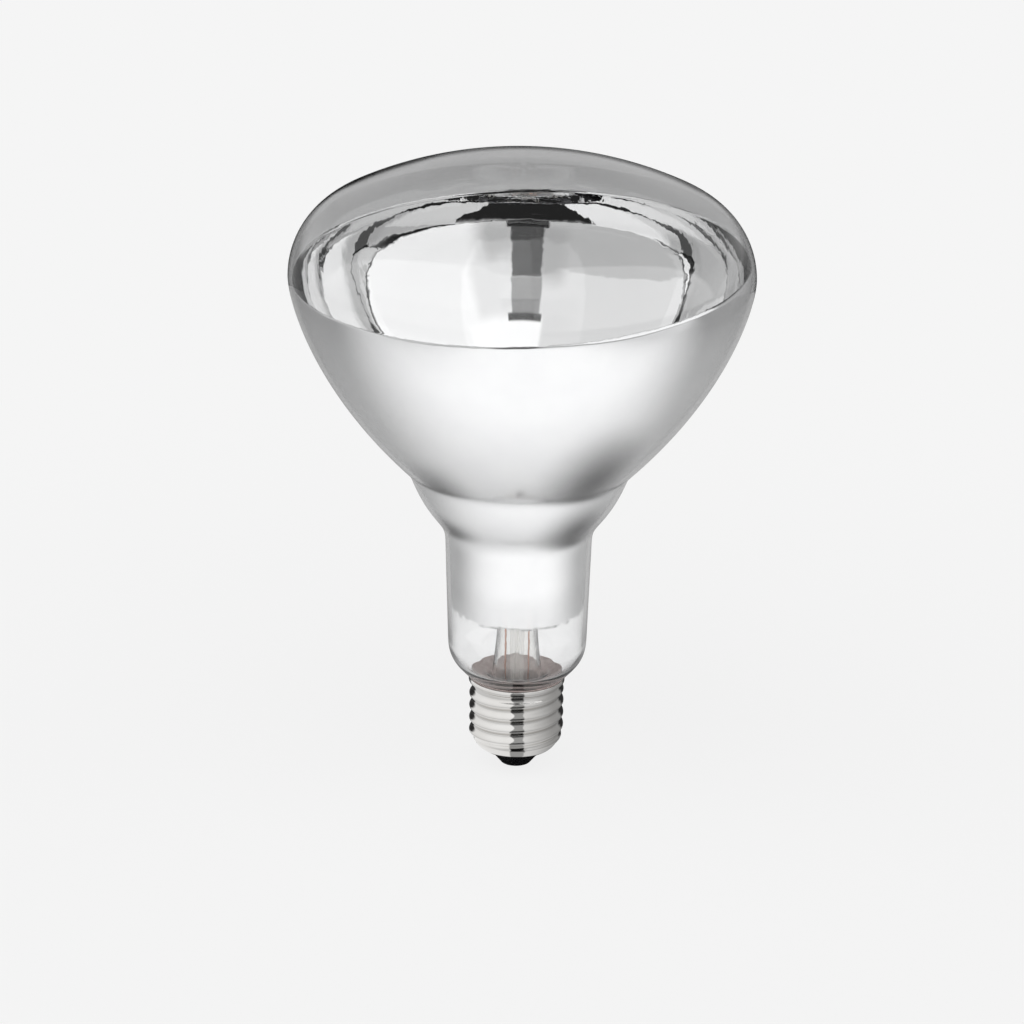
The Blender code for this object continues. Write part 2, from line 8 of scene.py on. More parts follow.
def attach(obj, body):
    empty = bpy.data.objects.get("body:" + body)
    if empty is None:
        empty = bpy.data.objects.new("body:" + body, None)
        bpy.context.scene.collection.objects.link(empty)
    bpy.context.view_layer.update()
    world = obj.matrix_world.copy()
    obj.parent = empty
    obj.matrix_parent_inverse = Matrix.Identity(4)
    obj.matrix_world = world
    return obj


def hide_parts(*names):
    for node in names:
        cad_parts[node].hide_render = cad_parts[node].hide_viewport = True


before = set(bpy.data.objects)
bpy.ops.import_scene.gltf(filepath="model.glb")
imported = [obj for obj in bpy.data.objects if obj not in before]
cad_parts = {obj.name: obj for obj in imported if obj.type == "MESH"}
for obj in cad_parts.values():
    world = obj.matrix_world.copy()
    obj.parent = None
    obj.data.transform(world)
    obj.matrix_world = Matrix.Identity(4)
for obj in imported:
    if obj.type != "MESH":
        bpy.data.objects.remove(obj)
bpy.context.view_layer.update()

MM = 0.001

# Outline of the blown bulb in millimetres, from the cap up
BULB_R = 62.5
FACE_EDGE_RADIUS = 22.1
FACE_DOME_RADIUS = 113.0
BOWL_FOOT_R = 30.25
BOWL_FOOT_ANGLE = 45.9
BOWL_FOOT_PULL = 37.8
BOWL_RIM_PULL = 4.5
BULGE_FOOT_ANGLE = 19.7
BULGE_FOOT_PULL = 15.8
BULGE_NECK_PULL = 6.8
NECK_TOP_R = 20.05
NECK_FOOT_R = 19.1
SHOULDER_RADIUS = 9.3
SHOULDER_ANGLE = 45.0
GLASS_WALL = 1.1
WIDEST_Z = 142.4
BOWL_FOOT_Z = 87.6
NECK_TOP_Z = 67.3
SHOULDER_Z = 37.2
CREASE_RADIUS = 1.6
HEEL_FLOOR_R = 10.6
HEEL_FLOOR_Z = 28.6
HEEL_PULL = 1.8
HEEL_DROP = 2.0

# Mirror coating
COATING_GAP = 0.03
COATING_THICKNESS = 0.06
COATING_EDGE_Z = 146.3
COATING_EDGE_TILT = 4.43
COATING_EDGE_TURN = 58.0
COATING_FOOT_Z = 47.4
FILM_ROWS = 110
FILM_SEGMENTS = 320

# How the mirror coating thins out: millimetres, and shares of full cover
FOOT_TILT = 0.14
FOOT_RAGGED = 4.0
FOOT_SHEER = (51.2, 53.0)
FOOT_FULL = (53.3, 64.0)
SHEER_SHARE = 0.75
EDGE_RAGGED = 0.8
EDGE_FADE = (-0.1, 0.3)

# Screw cap
CAP_TOP_Z = 27.0
MOUTH_R = 13.3
MOUTH_LENGTH = 1.6
CREST_R = 13.1
THREAD_DEPTH = 1.05
THREAD_PITCH = 3.629
THREAD_START = 19.73
THREAD_RUN_OUT = 2.2
SHEET = 0.3
LIP_R = 8.3
LIP_Z = 5.6
LIP_DEPTH = 4.4
SKIRT_R = 9.35
SKIRT_Z = 15.7
THROAT_R = 12.4
LEDGE_R = 13.75
LEDGE_Z = 27.75

# Insulator and contact
INSULATOR_TOP = 10.6
INSULATOR_FACE_R = 4.1
INSULATOR_FACE_Z = 0.95
CONTACT_R = 2.8
CONTACT_TIP_R = 1.8
CONTACT_SEAT_Z = 1.2

# Stem and wires
STEM_R = 5.5
STEM_WALL = 1.0
FLARE_R = 7.95
STEM_TUBE_FOOT_Z = 44.7
PRESS_FOOT_Z = 48.7
PRESS_TOP_Z = 60.7
PRESS_HALF_WIDTH = 6.5
PRESS_HALF_THICKNESS = 2.3
PRESS_BLEND = 3.0
PRESS_SQUARENESS = 4
ARBOR_R = 1.6
BUTTON_R = 2.8
EXHAUST_R = 2.0
EXHAUST_TIP_Z = 13.7
LEAD_R = 0.4
LEAD_REACH = 4.2
OUTER_LEAD_R = 0.25
OUTER_LEAD_REACH = 3.2
GROOVE_R = 11.2

# Filament
FILAMENT_Z = 99.6
FILAMENT_RING_R = 14.0
FILAMENT_START = 125.0
FILAMENT_SWEEP = 290.0
COIL_R = 1.3
COIL_TURNS = 88
COIL_STEPS = 14
COIL_WIRE_R = 0.13
HOOK_COUNT = 5
HOOK_WIRE_R = 0.2
HOOK_R = 2.05
BUTTON_Z = FILAMENT_Z - HOOK_R - 3.0

# Camera, in millimetres and degrees, as the photograph was taken
CAMERA_PLACE = (-1.9, -957.3, 429.8)
CAMERA_PITCH = 20.34
CAMERA_ROLL = 0.75
CAMERA_LENS = 131.5

# Levels of the backdrop and of the room that glass and metal mirror, as linear values
BACKDROP = 0.913
BACK_LEVEL = 0.47
BACK_FLOOR_LEVEL = 0.72
DARK_LEVEL = 0.02
OUTLINE_LEVEL = 0.05

# The card on the left: side angles, heights and softness in degrees, and levels below and above a slant
LEFT_CARD = ((-112, 2), (-14, 80), 1.5)
LEFT_LEVELS = (0.58, 0.80)
LEFT_EDGE = (0.255, 0.442, 1.0)

# The other cards round the room: level, side angles from the front, heights and softness in degrees
STUDIO_CARDS = (
    (1.08, (3, 106), (-14, 80), 2.0),
    (0.58, (2, 24), (-14, 27), 7.0),
    (0.86, (2, 30), (24, 44), 4.0),
    (1.16, (-15, 40), (45, 80), 2.0),
    (0.40, (3, 106), (-14, 1), 1.5),
    (0.50, (-24, -9), (6, 32), 5.0),
    (0.10, (-11, 6), (8, 31), 0.7),
    (0.30, (-12, 7), (31, 44), 0.7),
    (0.08, (-14, 10), (43.5, 46), 0.5),
    (0.02, (-13.5, 8), (-6, 8.5), 0.9),
)

# The room as the polished cap mirrors it: levels, and side angles from the front in degrees
CAP_LEFT_LEVEL = 0.88
CAP_RIGHT_LEVELS = (0.68, 0.34)
CAP_RIGHT_ANGLES = (20.0, 115.0)
CAP_BACK_ANGLES = (127.0, 138.0)
CAP_BACK_LEVELS = (0.03, 0.5)
CAP_BACK_FLOOR_LEVEL = 0.05
CAP_STRIP = (-13.0, 18.0, 2.0)
CAP_STRIP_LEVELS = (0.01, 0.32)
CAP_STRIP_FLOOR_LEVELS = (0.34, 0.01)
CAP_SHADE = (0.92, 1.08)

# Pale floor, in metres: its reach, and its levels as the bulb mirrors it, a painted pool of light
FLOOR_FRONT = 1.6
FLOOR_BACK = 0.42
FLOOR_SIDE = 1.4
FLOOR_FRONT_LEVEL = 1.06
FLOOR_BACK_LEVEL = 0.50
FLOOR_NEAR_LEVEL = 0.88
# Painted dark strip far in front on the mirrored floor: side angles and softness in degrees
FLOOR_FAR_STRIP = (-13.5, 8.0, 0.9)
# Painted contact shadow and painted dark band round the bulb on the floor, as the polished cap mirrors it:
# radii in metres, and how much the band darkens
CONTACT_SHADE = (0.0068, 0.009)
PAINTED_DARK_BAND = (0.027, 0.14, 0.006)
PAINTED_BAND_DEPTH = -0.28
SHADOW_SHARE = 0.08
SHADOW_REACH = (0.1, 0.36)

# Painted shadow patches on the mirrored floor near the bulb's foot: middle and reach in metres, and the
# least share of light
PAINTED_FLOOR_SHADOWS = (
    ((0.01, 0.085), (0.075, 0.12), 0.55),
    ((-0.048, 0.06), (0.035, 0.07), 0.4),
    ((0.055, 0.02), (0.06, 0.08), 0.32),
)

# Ring round the neck that glows pale grey as painted light, in metres
SURROUND_R = 0.12
SURROUND_FOOT = 0.001
SURROUND_TOP = 0.075
SURROUND_SEGMENTS = 48

# Overhead lamp, in metres and watts
LAMP_PLACE = (-0.25, -0.35, 1.5)
LAMP_AIM = (0.0, 0.0, 0.1)
LAMP_SIZE = 1.2
LAMP_POWER = 9.0


def arc(center, radius, start, end, count):
    """Points of a circular arc in the (r, z) plane, angles in degrees."""
    points = []
    for step in range(count + 1):
        angle = math.radians(start + (end - start) * step / count)
        points.append((center[0] + radius * math.cos(angle), center[1] + radius * math.sin(angle)))
    return points


def bezier(start, start_handle, end_handle, end, count):
    """Points of a cubic curve in the (r, z) plane, without its first one."""
    points = []
    for step in range(1, count + 1):
        t = step / count
        weights = ((1 - t) ** 3, 3 * (1 - t) ** 2 * t, 3 * (1 - t) * t ** 2, t ** 3)
        corners = (start, start_handle, end_handle, end)
        r = sum(weight * corner[0] for weight, corner in zip(weights, corners))
        z = sum(weight * corner[1] for weight, corner in zip(weights, corners))
        points.append((r, z))
    return points


def even_steps(points, spacing):
    """The same outline with its points a set distance apart."""
    lengths = [0.0]
    for start, end in zip(points, points[1:]):
        lengths.append(lengths[-1] + math.dist(start, end))
    count = max(round(lengths[-1] / spacing), 1)
    spaced = []
    index = 0
    for step in range(count + 1):
        place = lengths[-1] * step / count
        while index < len(points) - 2 and lengths[index + 1] < place:
            index += 1
        share = (place - lengths[index]) / max(lengths[index + 1] - lengths[index], 1e-9)
        share = min(share, 1.0)
        start, end = points[index], points[index + 1]
        spaced.append((start[0] + (end[0] - start[0]) * share, start[1] + (end[1] - start[1]) * share))
    return spaced


def soften(points, spacing, radius):
    """Round an outline's creases, as blown glass does, and keep its ends."""
    spaced = even_steps(points, spacing)
    for _ in range(round((radius / spacing) ** 2)):
        middle = []
        for before, here, after in zip(spaced, spaced[1:], spaced[2:]):
            r = here[0] / 2 + (before[0] + after[0]) / 4
            z = here[1] / 2 + (before[1] + after[1]) / 4
            middle.append((r, z))
        spaced = [spaced[0]] + middle + [spaced[-1]]
    return spaced


def inset(points, distance):
    """Move an outline that runs down its outer side inward by a distance."""
    moved = []
    for index, (r, z) in enumerate(points):
        before = points[max(index - 1, 0)]
        after = points[min(index + 1, len(points) - 1)]
        run = math.hypot(after[0] - before[0], after[1] - before[1])
        across = (after[1] - before[1]) / run
        along = (after[0] - before[0]) / run
        moved.append((max(r + across * distance, 0.0), z - along * distance))
    if points[0][0] == 0.0:
        moved[0] = (0.0, points[0][1] - distance)
    return moved


def turned(name, outline, segments, closed=False, shape=None):
    """A solid turned about Z from an outline; shape may move each point's radius and height."""
    points = []
    rings = []
    for row, (r, z) in enumerate(outline):
        if r < 1e-6:
            rings.append([len(points)])
            points.append((0.0, 0.0, z * MM))
            continue
        rings.append(range(len(points), len(points) + segments))
        for step in range(segments):
            angle = math.tau * step / segments
            radius, height = shape(row, r, z, angle) if shape else (r, z)
            points.append((radius * MM * math.cos(angle), radius * MM * math.sin(angle), height * MM))
    pairs = list(zip(rings, rings[1:]))
    if closed:
        pairs.append((rings[-1], rings[0]))
    faces = []
    for upper, lower in pairs:
        for step in range(segments):
            following = (step + 1) % segments
            if len(upper) == len(lower) == 1:
                break
            if len(upper) == 1:
                faces.append((upper[0], lower[step], lower[following]))
            elif len(lower) == 1:
                faces.append((upper[step], lower[0], upper[following]))
            else:
                faces.append((upper[step], lower[step], lower[following], upper[following]))
    return mesh_object(name, points, faces)


def mesh_object(name, points, faces):
    """A smooth mesh object in the scene."""
    mesh = bpy.data.meshes.new(name)
    mesh.from_pydata(points, [], faces)
    mesh.shade_smooth()
    item = bpy.data.objects.new(name, mesh)
    bpy.context.scene.collection.objects.link(item)
    return item


def finish_piece(item, surface, slot, *nodes):
    """Give a piece its material and its place in the frame."""
    if surface is not None:
        item.data.materials.clear()
        item.data.materials.append(surface)
    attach(item, "root")
    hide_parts(*nodes)
    return item


def add(tree, kind, inputs=None, **settings):
    """Add a node, set its options and fill or join its inputs."""
    made = tree.nodes.new(kind)
    for option, value in settings.items():
        setattr(made, option, value)
    for key, value in (inputs or {}).items():
        if isinstance(value, bpy.types.NodeSocket):
            tree.links.new(value, made.inputs[key])
        else:
            made.inputs[key].default_value = value
    return made


def calculate(tree, operation, *values):
    """The result socket of one Math node."""
    return add(tree, "ShaderNodeMath", dict(enumerate(values)), operation=operation).outputs[0]


def times(tree, product, *factors):
    """The product of two or more values."""
    for factor in factors:
        product = calculate(tree, "MULTIPLY", product, factor)
    return product


def dot(tree, first, second):
    """The dot product of two vectors."""
    return add(tree, "ShaderNodeVectorMath", {0: first, 1: second}, operation="DOT_PRODUCT").outputs["Value"]


def fade(tree, value, start, end, first, last):
    """A soft change from one level to another along a value."""
    limits = {"Value": value, "From Min": start, "From Max": end, "To Min": first, "To Max": last}
    return add(tree, "ShaderNodeMapRange", limits, interpolation_type="SMOOTHSTEP").outputs[0]


def window(tree, value, low, high, soft):
    """A mask that is one where a value lies between two limits, with soft ends."""
    rise = fade(tree, value, low - soft, low + soft, 0.0, 1.0)
    fall = fade(tree, value, high - soft, high + soft, 1.0, 0.0)
    return times(tree, rise, fall)


def blend(tree, share, first, last):
    """A level between two others, by a share."""
    return add(tree, "ShaderNodeMix", {"Factor": share, "A": first, "B": last}).outputs[0]


def distance_of(tree, x, y):
    """How far a place is from the middle, by its two coordinates."""
    return calculate(tree, "SQRT", calculate(tree, "ADD", times(tree, x, x), times(tree, y, y)))


def side_angle(tree, x, y):
    """The angle of a place or a direction from the front, in degrees and positive to the right."""
    return times(tree, calculate(tree, "ARCTAN2", x, times(tree, y, -1.0)), 180.0 / math.pi)


def mirrored_ray(tree, path):
    """A mask for rays that something has mirrored, also before they went through glass."""
    return calculate(tree, "GREATER_THAN", path["Glossy Depth"], 0.5)


def new_material(name, color, roughness, metallic=0.0):
    """An empty Principled material and its tree, shader and object coordinates."""
    material = bpy.data.materials.new(name)
    material.use_nodes = True
    tree = material.node_tree
    shader = tree.nodes["Principled BSDF"]
    shader.inputs["Base Color"].default_value = (*color, 1.0)
    shader.inputs["Roughness"].default_value = roughness
    shader.inputs["Metallic"].default_value = metallic
    place = add(tree, "ShaderNodeTexCoord").outputs["Object"]
    return material, tree, shader, place


def bump(tree, shader, height, strength, distance):
    """Drive the shader's normal from a height."""
    made = add(tree, "ShaderNodeBump", {"Height": height, "Strength": strength, "Distance": distance})
    tree.links.new(made.outputs[0], shader.inputs["Normal"])


def mottle(tree, place, scale, detail=4.0):
    """A soft noise value on the object's own coordinates."""
    return add(tree, "ShaderNodeTexNoise", {"Vector": place, "Scale": scale, "Detail": detail}).outputs[0]


def streaks(tree, place, scales):
    """A soft noise value drawn out by its own scale on each axis."""
    stretched = add(tree, "ShaderNodeMapping", {"Vector": place, "Scale": scales}).outputs[0]
    return mottle(tree, stretched, 1.0, 2.0)


def vary(tree, value, low, high):
    """A noise value spread over a new range."""
    limits = {"Value": value, "From Min": 0.3, "From Max": 0.7, "To Min": low, "To Max": high}
    return add(tree, "ShaderNodeMapRange", limits).outputs[0]


def tint(tree, shader, value, dark, light):
    """Drive the shader's colour between two, by a noise value."""
    ends = {"Factor": vary(tree, value, 0.0, 1.0), "A": (*dark, 1.0), "B": (*light, 1.0)}
    mixed = add(tree, "ShaderNodeMix", ends, data_type="RGBA").outputs["Result"]
    tree.links.new(mixed, shader.inputs["Base Color"])


def roughen(tree, shader, value, low, high):
    """Drive the shader's roughness between two values, by a noise value."""
    tree.links.new(vary(tree, value, low, high), shader.inputs["Roughness"])


def let_light_in(tree, shader):
    """Let the lamps and the pale room light what lies behind this glass."""
    path = add(tree, "ShaderNodeLightPath").outputs
    lit = calculate(tree, "MAXIMUM", path["Is Shadow Ray"], path["Is Diffuse Ray"])
    clear = add(tree, "ShaderNodeBsdfTransparent").outputs[0]
    mixed = add(tree, "ShaderNodeMixShader", {0: lit, 1: shader.outputs[0], 2: clear}).outputs[0]
    tree.links.new(mixed, tree.nodes["Material Output"].inputs["Surface"])


def clear_glass(name, color, roughness, refraction, grain, relief):
    """Clear glass, uneven by the scale and detail of its grain and the strength and depth of its relief."""
    material, tree, shader, place = new_material(name, color, roughness)
    shader.inputs["Transmission Weight"].default_value = 1.0
    shader.inputs["IOR"].default_value = refraction
    bump(tree, shader, mottle(tree, place, *grain), *relief)
    let_light_in(tree, shader)
    return material


def blown_glass():
    """Clear hard glass with the faint unevenness that blowing leaves."""
    return clear_glass("blown_glass", (0.988, 0.99, 0.992), 0.0, 1.474, (28.0, 1.0), (0.05, 0.002))


def stem_glass():
    """Pressed glass of the stem, fuller of bubbles and drag lines."""
    return clear_glass("pressed_glass", (0.975, 0.975, 0.965), 0.01, 1.49, (260.0, 2.0), (0.12, 0.001))


def milky_tube():
    """Thin drawn glass of the pumping tube, a little milky."""
    material, tree, shader, place = new_material("milky_tube", (0.90, 0.87, 0.82), 0.06)
    cloud = streaks(tree, place, (900.0, 900.0, 40.0))
    tree.links.new(vary(tree, cloud, 0.06, 0.34), shader.inputs["Alpha"])
    return material


def rim_share(tree, place, low, high):
    """How near a place is to the rim, from 0 below one height to 1 above another."""
    height = add(tree, "ShaderNodeSeparateXYZ", {"Vector": place}).outputs[2]
    return fade(tree, height, low * MM, high * MM, 0.0, 1.0)


def mirror_metal():
    """The bright inner side of the aluminium film, rippled where the glass turns in at the rim."""
    material, tree, shader, place = new_material("mirror_metal", (0.96, 0.96, 0.96), 0.012, 1.0)
    swell = times(tree, mottle(tree, place, 22.0, 1.0), 0.30)
    ripple = times(tree, mottle(tree, place, 150.0, 2.0), rim_share(tree, place, 113.0, 135.0))
    crinkle = times(tree, mottle(tree, place, 420.0, 2.0), rim_share(tree, place, 135.0, 145.0))
    height = calculate(tree, "MULTIPLY_ADD", ripple, 0.10, swell)
    height = calculate(tree, "MULTIPLY_ADD", crinkle, 0.05, height)
    bump(tree, shader, height, 1.0, 0.0006)
    thin_out(tree, shader, place)
    return material


def thin_out(tree, shader, place):
    """Let the film grow thin and ragged towards its foot and its upper edge."""
    ragged = mottle(tree, place, 420.0, 3.0)
    _, y, height = add(tree, "ShaderNodeSeparateXYZ", {"Vector": place}).outputs
    tilted = calculate(tree, "MULTIPLY_ADD", y, -FOOT_TILT, height)
    low = calculate(tree, "MULTIPLY_ADD", ragged, FOOT_RAGGED * MM, tilted)
    sheer = fade(tree, low, FOOT_SHEER[0] * MM, FOOT_SHEER[1] * MM, 0.0, SHEER_SHARE)
    full = fade(tree, low, FOOT_FULL[0] * MM, FOOT_FULL[1] * MM, 0.0, 1.0 - SHEER_SHARE)
    turn = math.radians(COATING_EDGE_TURN)
    tilt = math.tan(math.radians(COATING_EDGE_TILT))
    upright = (-tilt * math.cos(turn), -tilt * math.sin(turn), 1.0)
    high = calculate(tree, "MULTIPLY_ADD", ragged, EDGE_RAGGED * MM, dot(tree, place, upright))
    start, end = [(COATING_EDGE_Z + limit) * MM for limit in EDGE_FADE]
    edge = fade(tree, high, start, end, 1.0, 0.0)
    cover = times(tree, calculate(tree, "ADD", sheer, full), edge)
    tree.links.new(cover, shader.inputs["Alpha"])


def satin_metal():
    """The outer side of the film, seen through the glass as satin silver, thinning out at its foot."""
    material, tree, shader, place = new_material("satin_metal", (0.96, 0.96, 0.96), 0.13, 1.0)
    cloud = mottle(tree, place, 90.0, 3.0)
    roughen(tree, shader, cloud, 0.10, 0.16)
    tint(tree, shader, cloud, (0.94, 0.94, 0.945), (0.98, 0.98, 0.98))
    thin_out(tree, shader, place)
    return material


def plated_sheet():
    """Nickel plating on the rolled cap, with fine scuffs along the thread."""
    material, tree, shader, place = new_material("plated_sheet", (0.82, 0.81, 0.79), 0.1, 1.0)
    scuffs = streaks(tree, place, (60.0, 60.0, 900.0))
    roughen(tree, shader, scuffs, 0.04, 0.10)
    cloud = mottle(tree, place, 120.0)
    tint(tree, shader, cloud, (0.78, 0.765, 0.74), (0.86, 0.85, 0.835))
    bump(tree, shader, scuffs, 0.04, 0.0002)
    return material


def black_insulator():
    """Glossy black glass, with the slight ripple of its moulding."""
    material, tree, shader, place = new_material("black_insulator", (0.008, 0.008, 0.009), 0.08)
    ripple = mottle(tree, place, 350.0)
    roughen(tree, shader, ripple, 0.05, 0.16)
    bump(tree, shader, ripple, 0.2, 0.0003)
    return material


def tinned_brass():
    """The contact plate and its tinned tip."""
    material, tree, shader, place = new_material("tinned_brass", (0.72, 0.68, 0.60), 0.32, 1.0)
    cloud = mottle(tree, place, 500.0)
    tint(tree, shader, cloud, (0.62, 0.54, 0.40), (0.76, 0.74, 0.70))
    roughen(tree, shader, cloud, 0.25, 0.45)
    bump(tree, shader, cloud, 0.3, 0.0003)
    return material


def dull_solder():
    """Solder with its soft grey skin."""
    material, tree, shader, place = new_material("dull_solder", (0.55, 0.55, 0.56), 0.4, 1.0)
    cloud = mottle(tree, place, 700.0)
    tint(tree, shader, cloud, (0.42, 0.42, 0.43), (0.64, 0.64, 0.65))
    bump(tree, shader, cloud, 0.4, 0.0003)
    return material


def brown_cement():
    """Matt basing cement, pinkish brown and full of grains."""
    material, tree, shader, place = new_material("brown_cement", (0.36, 0.29, 0.27), 0.3)
    grain = mottle(tree, place, 900.0, 6.0)
    tint(tree, shader, grain, (0.32, 0.25, 0.235), (0.48, 0.41, 0.39))
    bump(tree, shader, grain, 0.25, 0.0002)
    return material


def drawn_wire(name, dark, light, roughness):
    """Drawn wire with die marks along it."""
    material, tree, shader, place = new_material(name, light, roughness, 1.0)
    marks = mottle(tree, place, 1500.0)
    tint(tree, shader, marks, dark, light)
    roughen(tree, shader, marks, roughness - 0.08, roughness + 0.08)
    return material


def bulb_outline():
    """Outer outline of the blown glass, from the middle of the face to its skirt."""
    edge_center = (BULB_R - FACE_EDGE_RADIUS, WIDEST_Z)
    reach = FACE_DOME_RADIUS - FACE_EDGE_RADIUS
    dome_z = WIDEST_Z - math.sqrt(reach ** 2 - edge_center[0] ** 2)
    tangent = math.degrees(math.atan2(WIDEST_Z - dome_z, edge_center[0]))
    face = arc((0.0, dome_z), FACE_DOME_RADIUS, 90, tangent, 40)
    edge = arc(edge_center, FACE_EDGE_RADIUS, tangent, 0, 20)[1:]
    foot = (BOWL_FOOT_R, BOWL_FOOT_Z)
    tilt = math.radians(BOWL_FOOT_ANGLE)
    foot_handle = (foot[0] + BOWL_FOOT_PULL * math.sin(tilt), foot[1] + BOWL_FOOT_PULL * math.cos(tilt))
    bowl = bezier((BULB_R, WIDEST_Z), (BULB_R, WIDEST_Z - BOWL_RIM_PULL), foot_handle, foot, 60)
    turn = math.radians(BULGE_FOOT_ANGLE)
    bulge_handle = (foot[0] - BULGE_FOOT_PULL * math.sin(turn), foot[1] - BULGE_FOOT_PULL * math.cos(turn))
    neck = (NECK_TOP_R, NECK_TOP_Z)
    bulge = bezier(foot, bulge_handle, (neck[0], neck[1] + BULGE_NECK_PULL), neck, 30)
    shoulder = arc((NECK_FOOT_R - SHOULDER_RADIUS, SHOULDER_Z), SHOULDER_RADIUS, 0, -SHOULDER_ANGLE, 12)
    skirt = [(LEDGE_R, LEDGE_Z), (THROAT_R, CAP_TOP_Z), (SKIRT_R, CAP_TOP_Z - MOUTH_LENGTH - SHEET)]
    blown = soften(edge[-1:] + bowl + bulge + shoulder + skirt, 0.8, CREASE_RADIUS)
    top = [(0.0, face[0][1])] + face[1:] + edge[:-1]
    return top + blown + [(SKIRT_R, SKIRT_Z)]


def glass_bulb(surface):
    """The blown glass, a wall with both its sides."""
    outer = bulb_outline()
    inner = [point for point in inset(outer, GLASS_WALL) if point[1] > SHOULDER_Z]
    shoulder = (NECK_FOOT_R - SHOULDER_RADIUS, SHOULDER_Z)
    inner += arc(shoulder, SHOULDER_RADIUS - GLASS_WALL, 0, -SHOULDER_ANGLE, 10)
    low = inner[-1]
    low_handle = (low[0] - HEEL_PULL, low[1] - HEEL_PULL)
    floor = (HEEL_FLOOR_R, HEEL_FLOOR_Z)
    inner += bezier(low, low_handle, (floor[0] + HEEL_PULL, floor[1]), floor, 8)
    bore = (SKIRT_R - GLASS_WALL, HEEL_FLOOR_Z - HEEL_DROP)
    inner += bezier(floor, (floor[0] - 1.5, floor[1]), (bore[0], floor[1] - 0.3), bore, 6)
    inner.append((bore[0], SKIRT_Z))
    item = turned("glass_bulb", outer + inner[::-1], 200)
    return finish_piece(item, surface, "bulb_glass", "bulb_envelope")


def edge_height(r, angle):
    """Height of the coating's tilted edge at a place on the glass, a little uneven."""
    turn = math.radians(COATING_EDGE_TURN)
    rise = r * math.cos(angle - turn) * math.tan(math.radians(COATING_EDGE_TILT))
    around = Vector((math.cos(angle), math.sin(angle), 0.0))
    uneven = 0.35 * noise.noise(around * 3.0) + 0.16 * noise.noise(around * 17.0)
    return COATING_EDGE_Z + rise + uneven


def foot_height(angle):
    """Height of the coating's lower edge in the neck."""
    around = Vector((math.cos(angle), math.sin(angle), 4.0))
    return COATING_FOOT_Z + 0.3 * noise.noise(around * 2.0) + 0.15 * noise.noise(around * 11.0)


def crossing(side, height_at):
    """How far down an outline, in rows, its height falls to a limit."""
    for row, (upper, lower) in enumerate(zip(side, side[1:])):
        above = upper[1] - height_at(upper[0])
        below = lower[1] - height_at(lower[0])
        if below <= 0.0:
            return row + min(max(above / (above - below), 0.0), 1.0)
    return len(side) - 1.0


def coating_layer(mirror, satin):
    """The film inside the bowl and neck: bright inside, satin outside."""
    full = [point for point in bulb_outline() if COATING_FOOT_Z - 3 < point[1] < COATING_EDGE_Z + 9]
    full = [point for point in full if point[1] < WIDEST_Z or point[0] > BULB_R / 2]
    outer = inset(full, GLASS_WALL + COATING_GAP)
    inner = inset(full, GLASS_WALL + COATING_GAP + COATING_THICKNESS)
    ends = []
    for step in range(FILM_SEGMENTS):
        angle = math.tau * step / FILM_SEGMENTS
        top = crossing(outer, lambda r: edge_height(r, angle))
        foot = crossing(outer, lambda r: foot_height(angle))
        ends.append((top, foot))

    def film_point(row, r, z, angle):
        top, foot = ends[round(angle / math.tau * FILM_SEGMENTS) % FILM_SEGMENTS]
        side = outer if row <= FILM_ROWS else inner
        down = row if row <= FILM_ROWS else 2 * FILM_ROWS + 1 - row
        place = top + (foot - top) * down / FILM_ROWS
        index = min(int(place), len(side) - 2)
        share = place - index
        start, end = side[index], side[index + 1]
        return start[0] + (end[0] - start[0]) * share, start[1] + (end[1] - start[1]) * share

    rows = [(1.0, 0.0)] * (2 * FILM_ROWS + 2)
    item = turned("mirror_film", rows, FILM_SEGMENTS, closed=True, shape=film_point)
    item.data.materials.append(satin)
    item.data.materials.append(mirror)
    for face in item.data.polygons:
        face.material_index = 0 if face.index < FILM_ROWS * FILM_SEGMENTS else 1
    return finish_piece(item, None, "mirror_coating", "reflector_coating")


def stem_press(surface):
    """The pinched stem: flare, tube, flat press, arbor and button in one piece of glass."""
    flare = bezier((STEM_R, STEM_TUBE_FOOT_Z), (STEM_R, SKIRT_Z + 17.4), (FLARE_R, SKIRT_Z + 10.2),
                   (FLARE_R, SKIRT_Z), 24)
    button = arc((0.0, BUTTON_Z), BUTTON_R, 90, -55, 14)
    arbor = bezier((ARBOR_R, PRESS_TOP_Z + 6), (ARBOR_R, PRESS_TOP_Z + 1), (STEM_R, PRESS_TOP_Z + 1),
                   (STEM_R, PRESS_TOP_Z - 2), 10)
    press = [(STEM_R, PRESS_TOP_Z - 2 - step) for step in range(1, 14)]
    outer = button + [(ARBOR_R, BUTTON_Z - BUTTON_R - 1.0)] + arbor + press
    outer += [(STEM_R, STEM_TUBE_FOOT_Z)] + flare
    bore = [(r - STEM_WALL, z) for r, z in flare][::-1]
    ceiling = [(STEM_R - STEM_WALL, PRESS_FOOT_Z - 1.0), (STEM_R - 2 * STEM_WALL, PRESS_FOOT_Z)]
    ceiling.append((0.0, PRESS_FOOT_Z))

    def pinch(row, r, z, angle):
        if r < 4.0 or row >= len(outer):
            return r, z
        middle = (PRESS_TOP_Z + PRESS_FOOT_Z) / 2
        half = (PRESS_TOP_Z - PRESS_FOOT_Z) / 2
        share = min(max((half + 1.0 - abs(z - middle)) / PRESS_BLEND, 0.0), 1.0)
        share = share * share * (3 - 2 * share)
        wide = abs(math.cos(angle) / PRESS_HALF_WIDTH) ** PRESS_SQUARENESS
        thick = abs(math.sin(angle) / PRESS_HALF_THICKNESS) ** PRESS_SQUARENESS
        flat = (wide + thick) ** (-1 / PRESS_SQUARENESS)
        return r + (flat - r) * share, z

    item = turned("stem_press", outer + bore + ceiling, 64, shape=pinch)
    return finish_piece(item, surface, "stem_glass", "stem_glass")


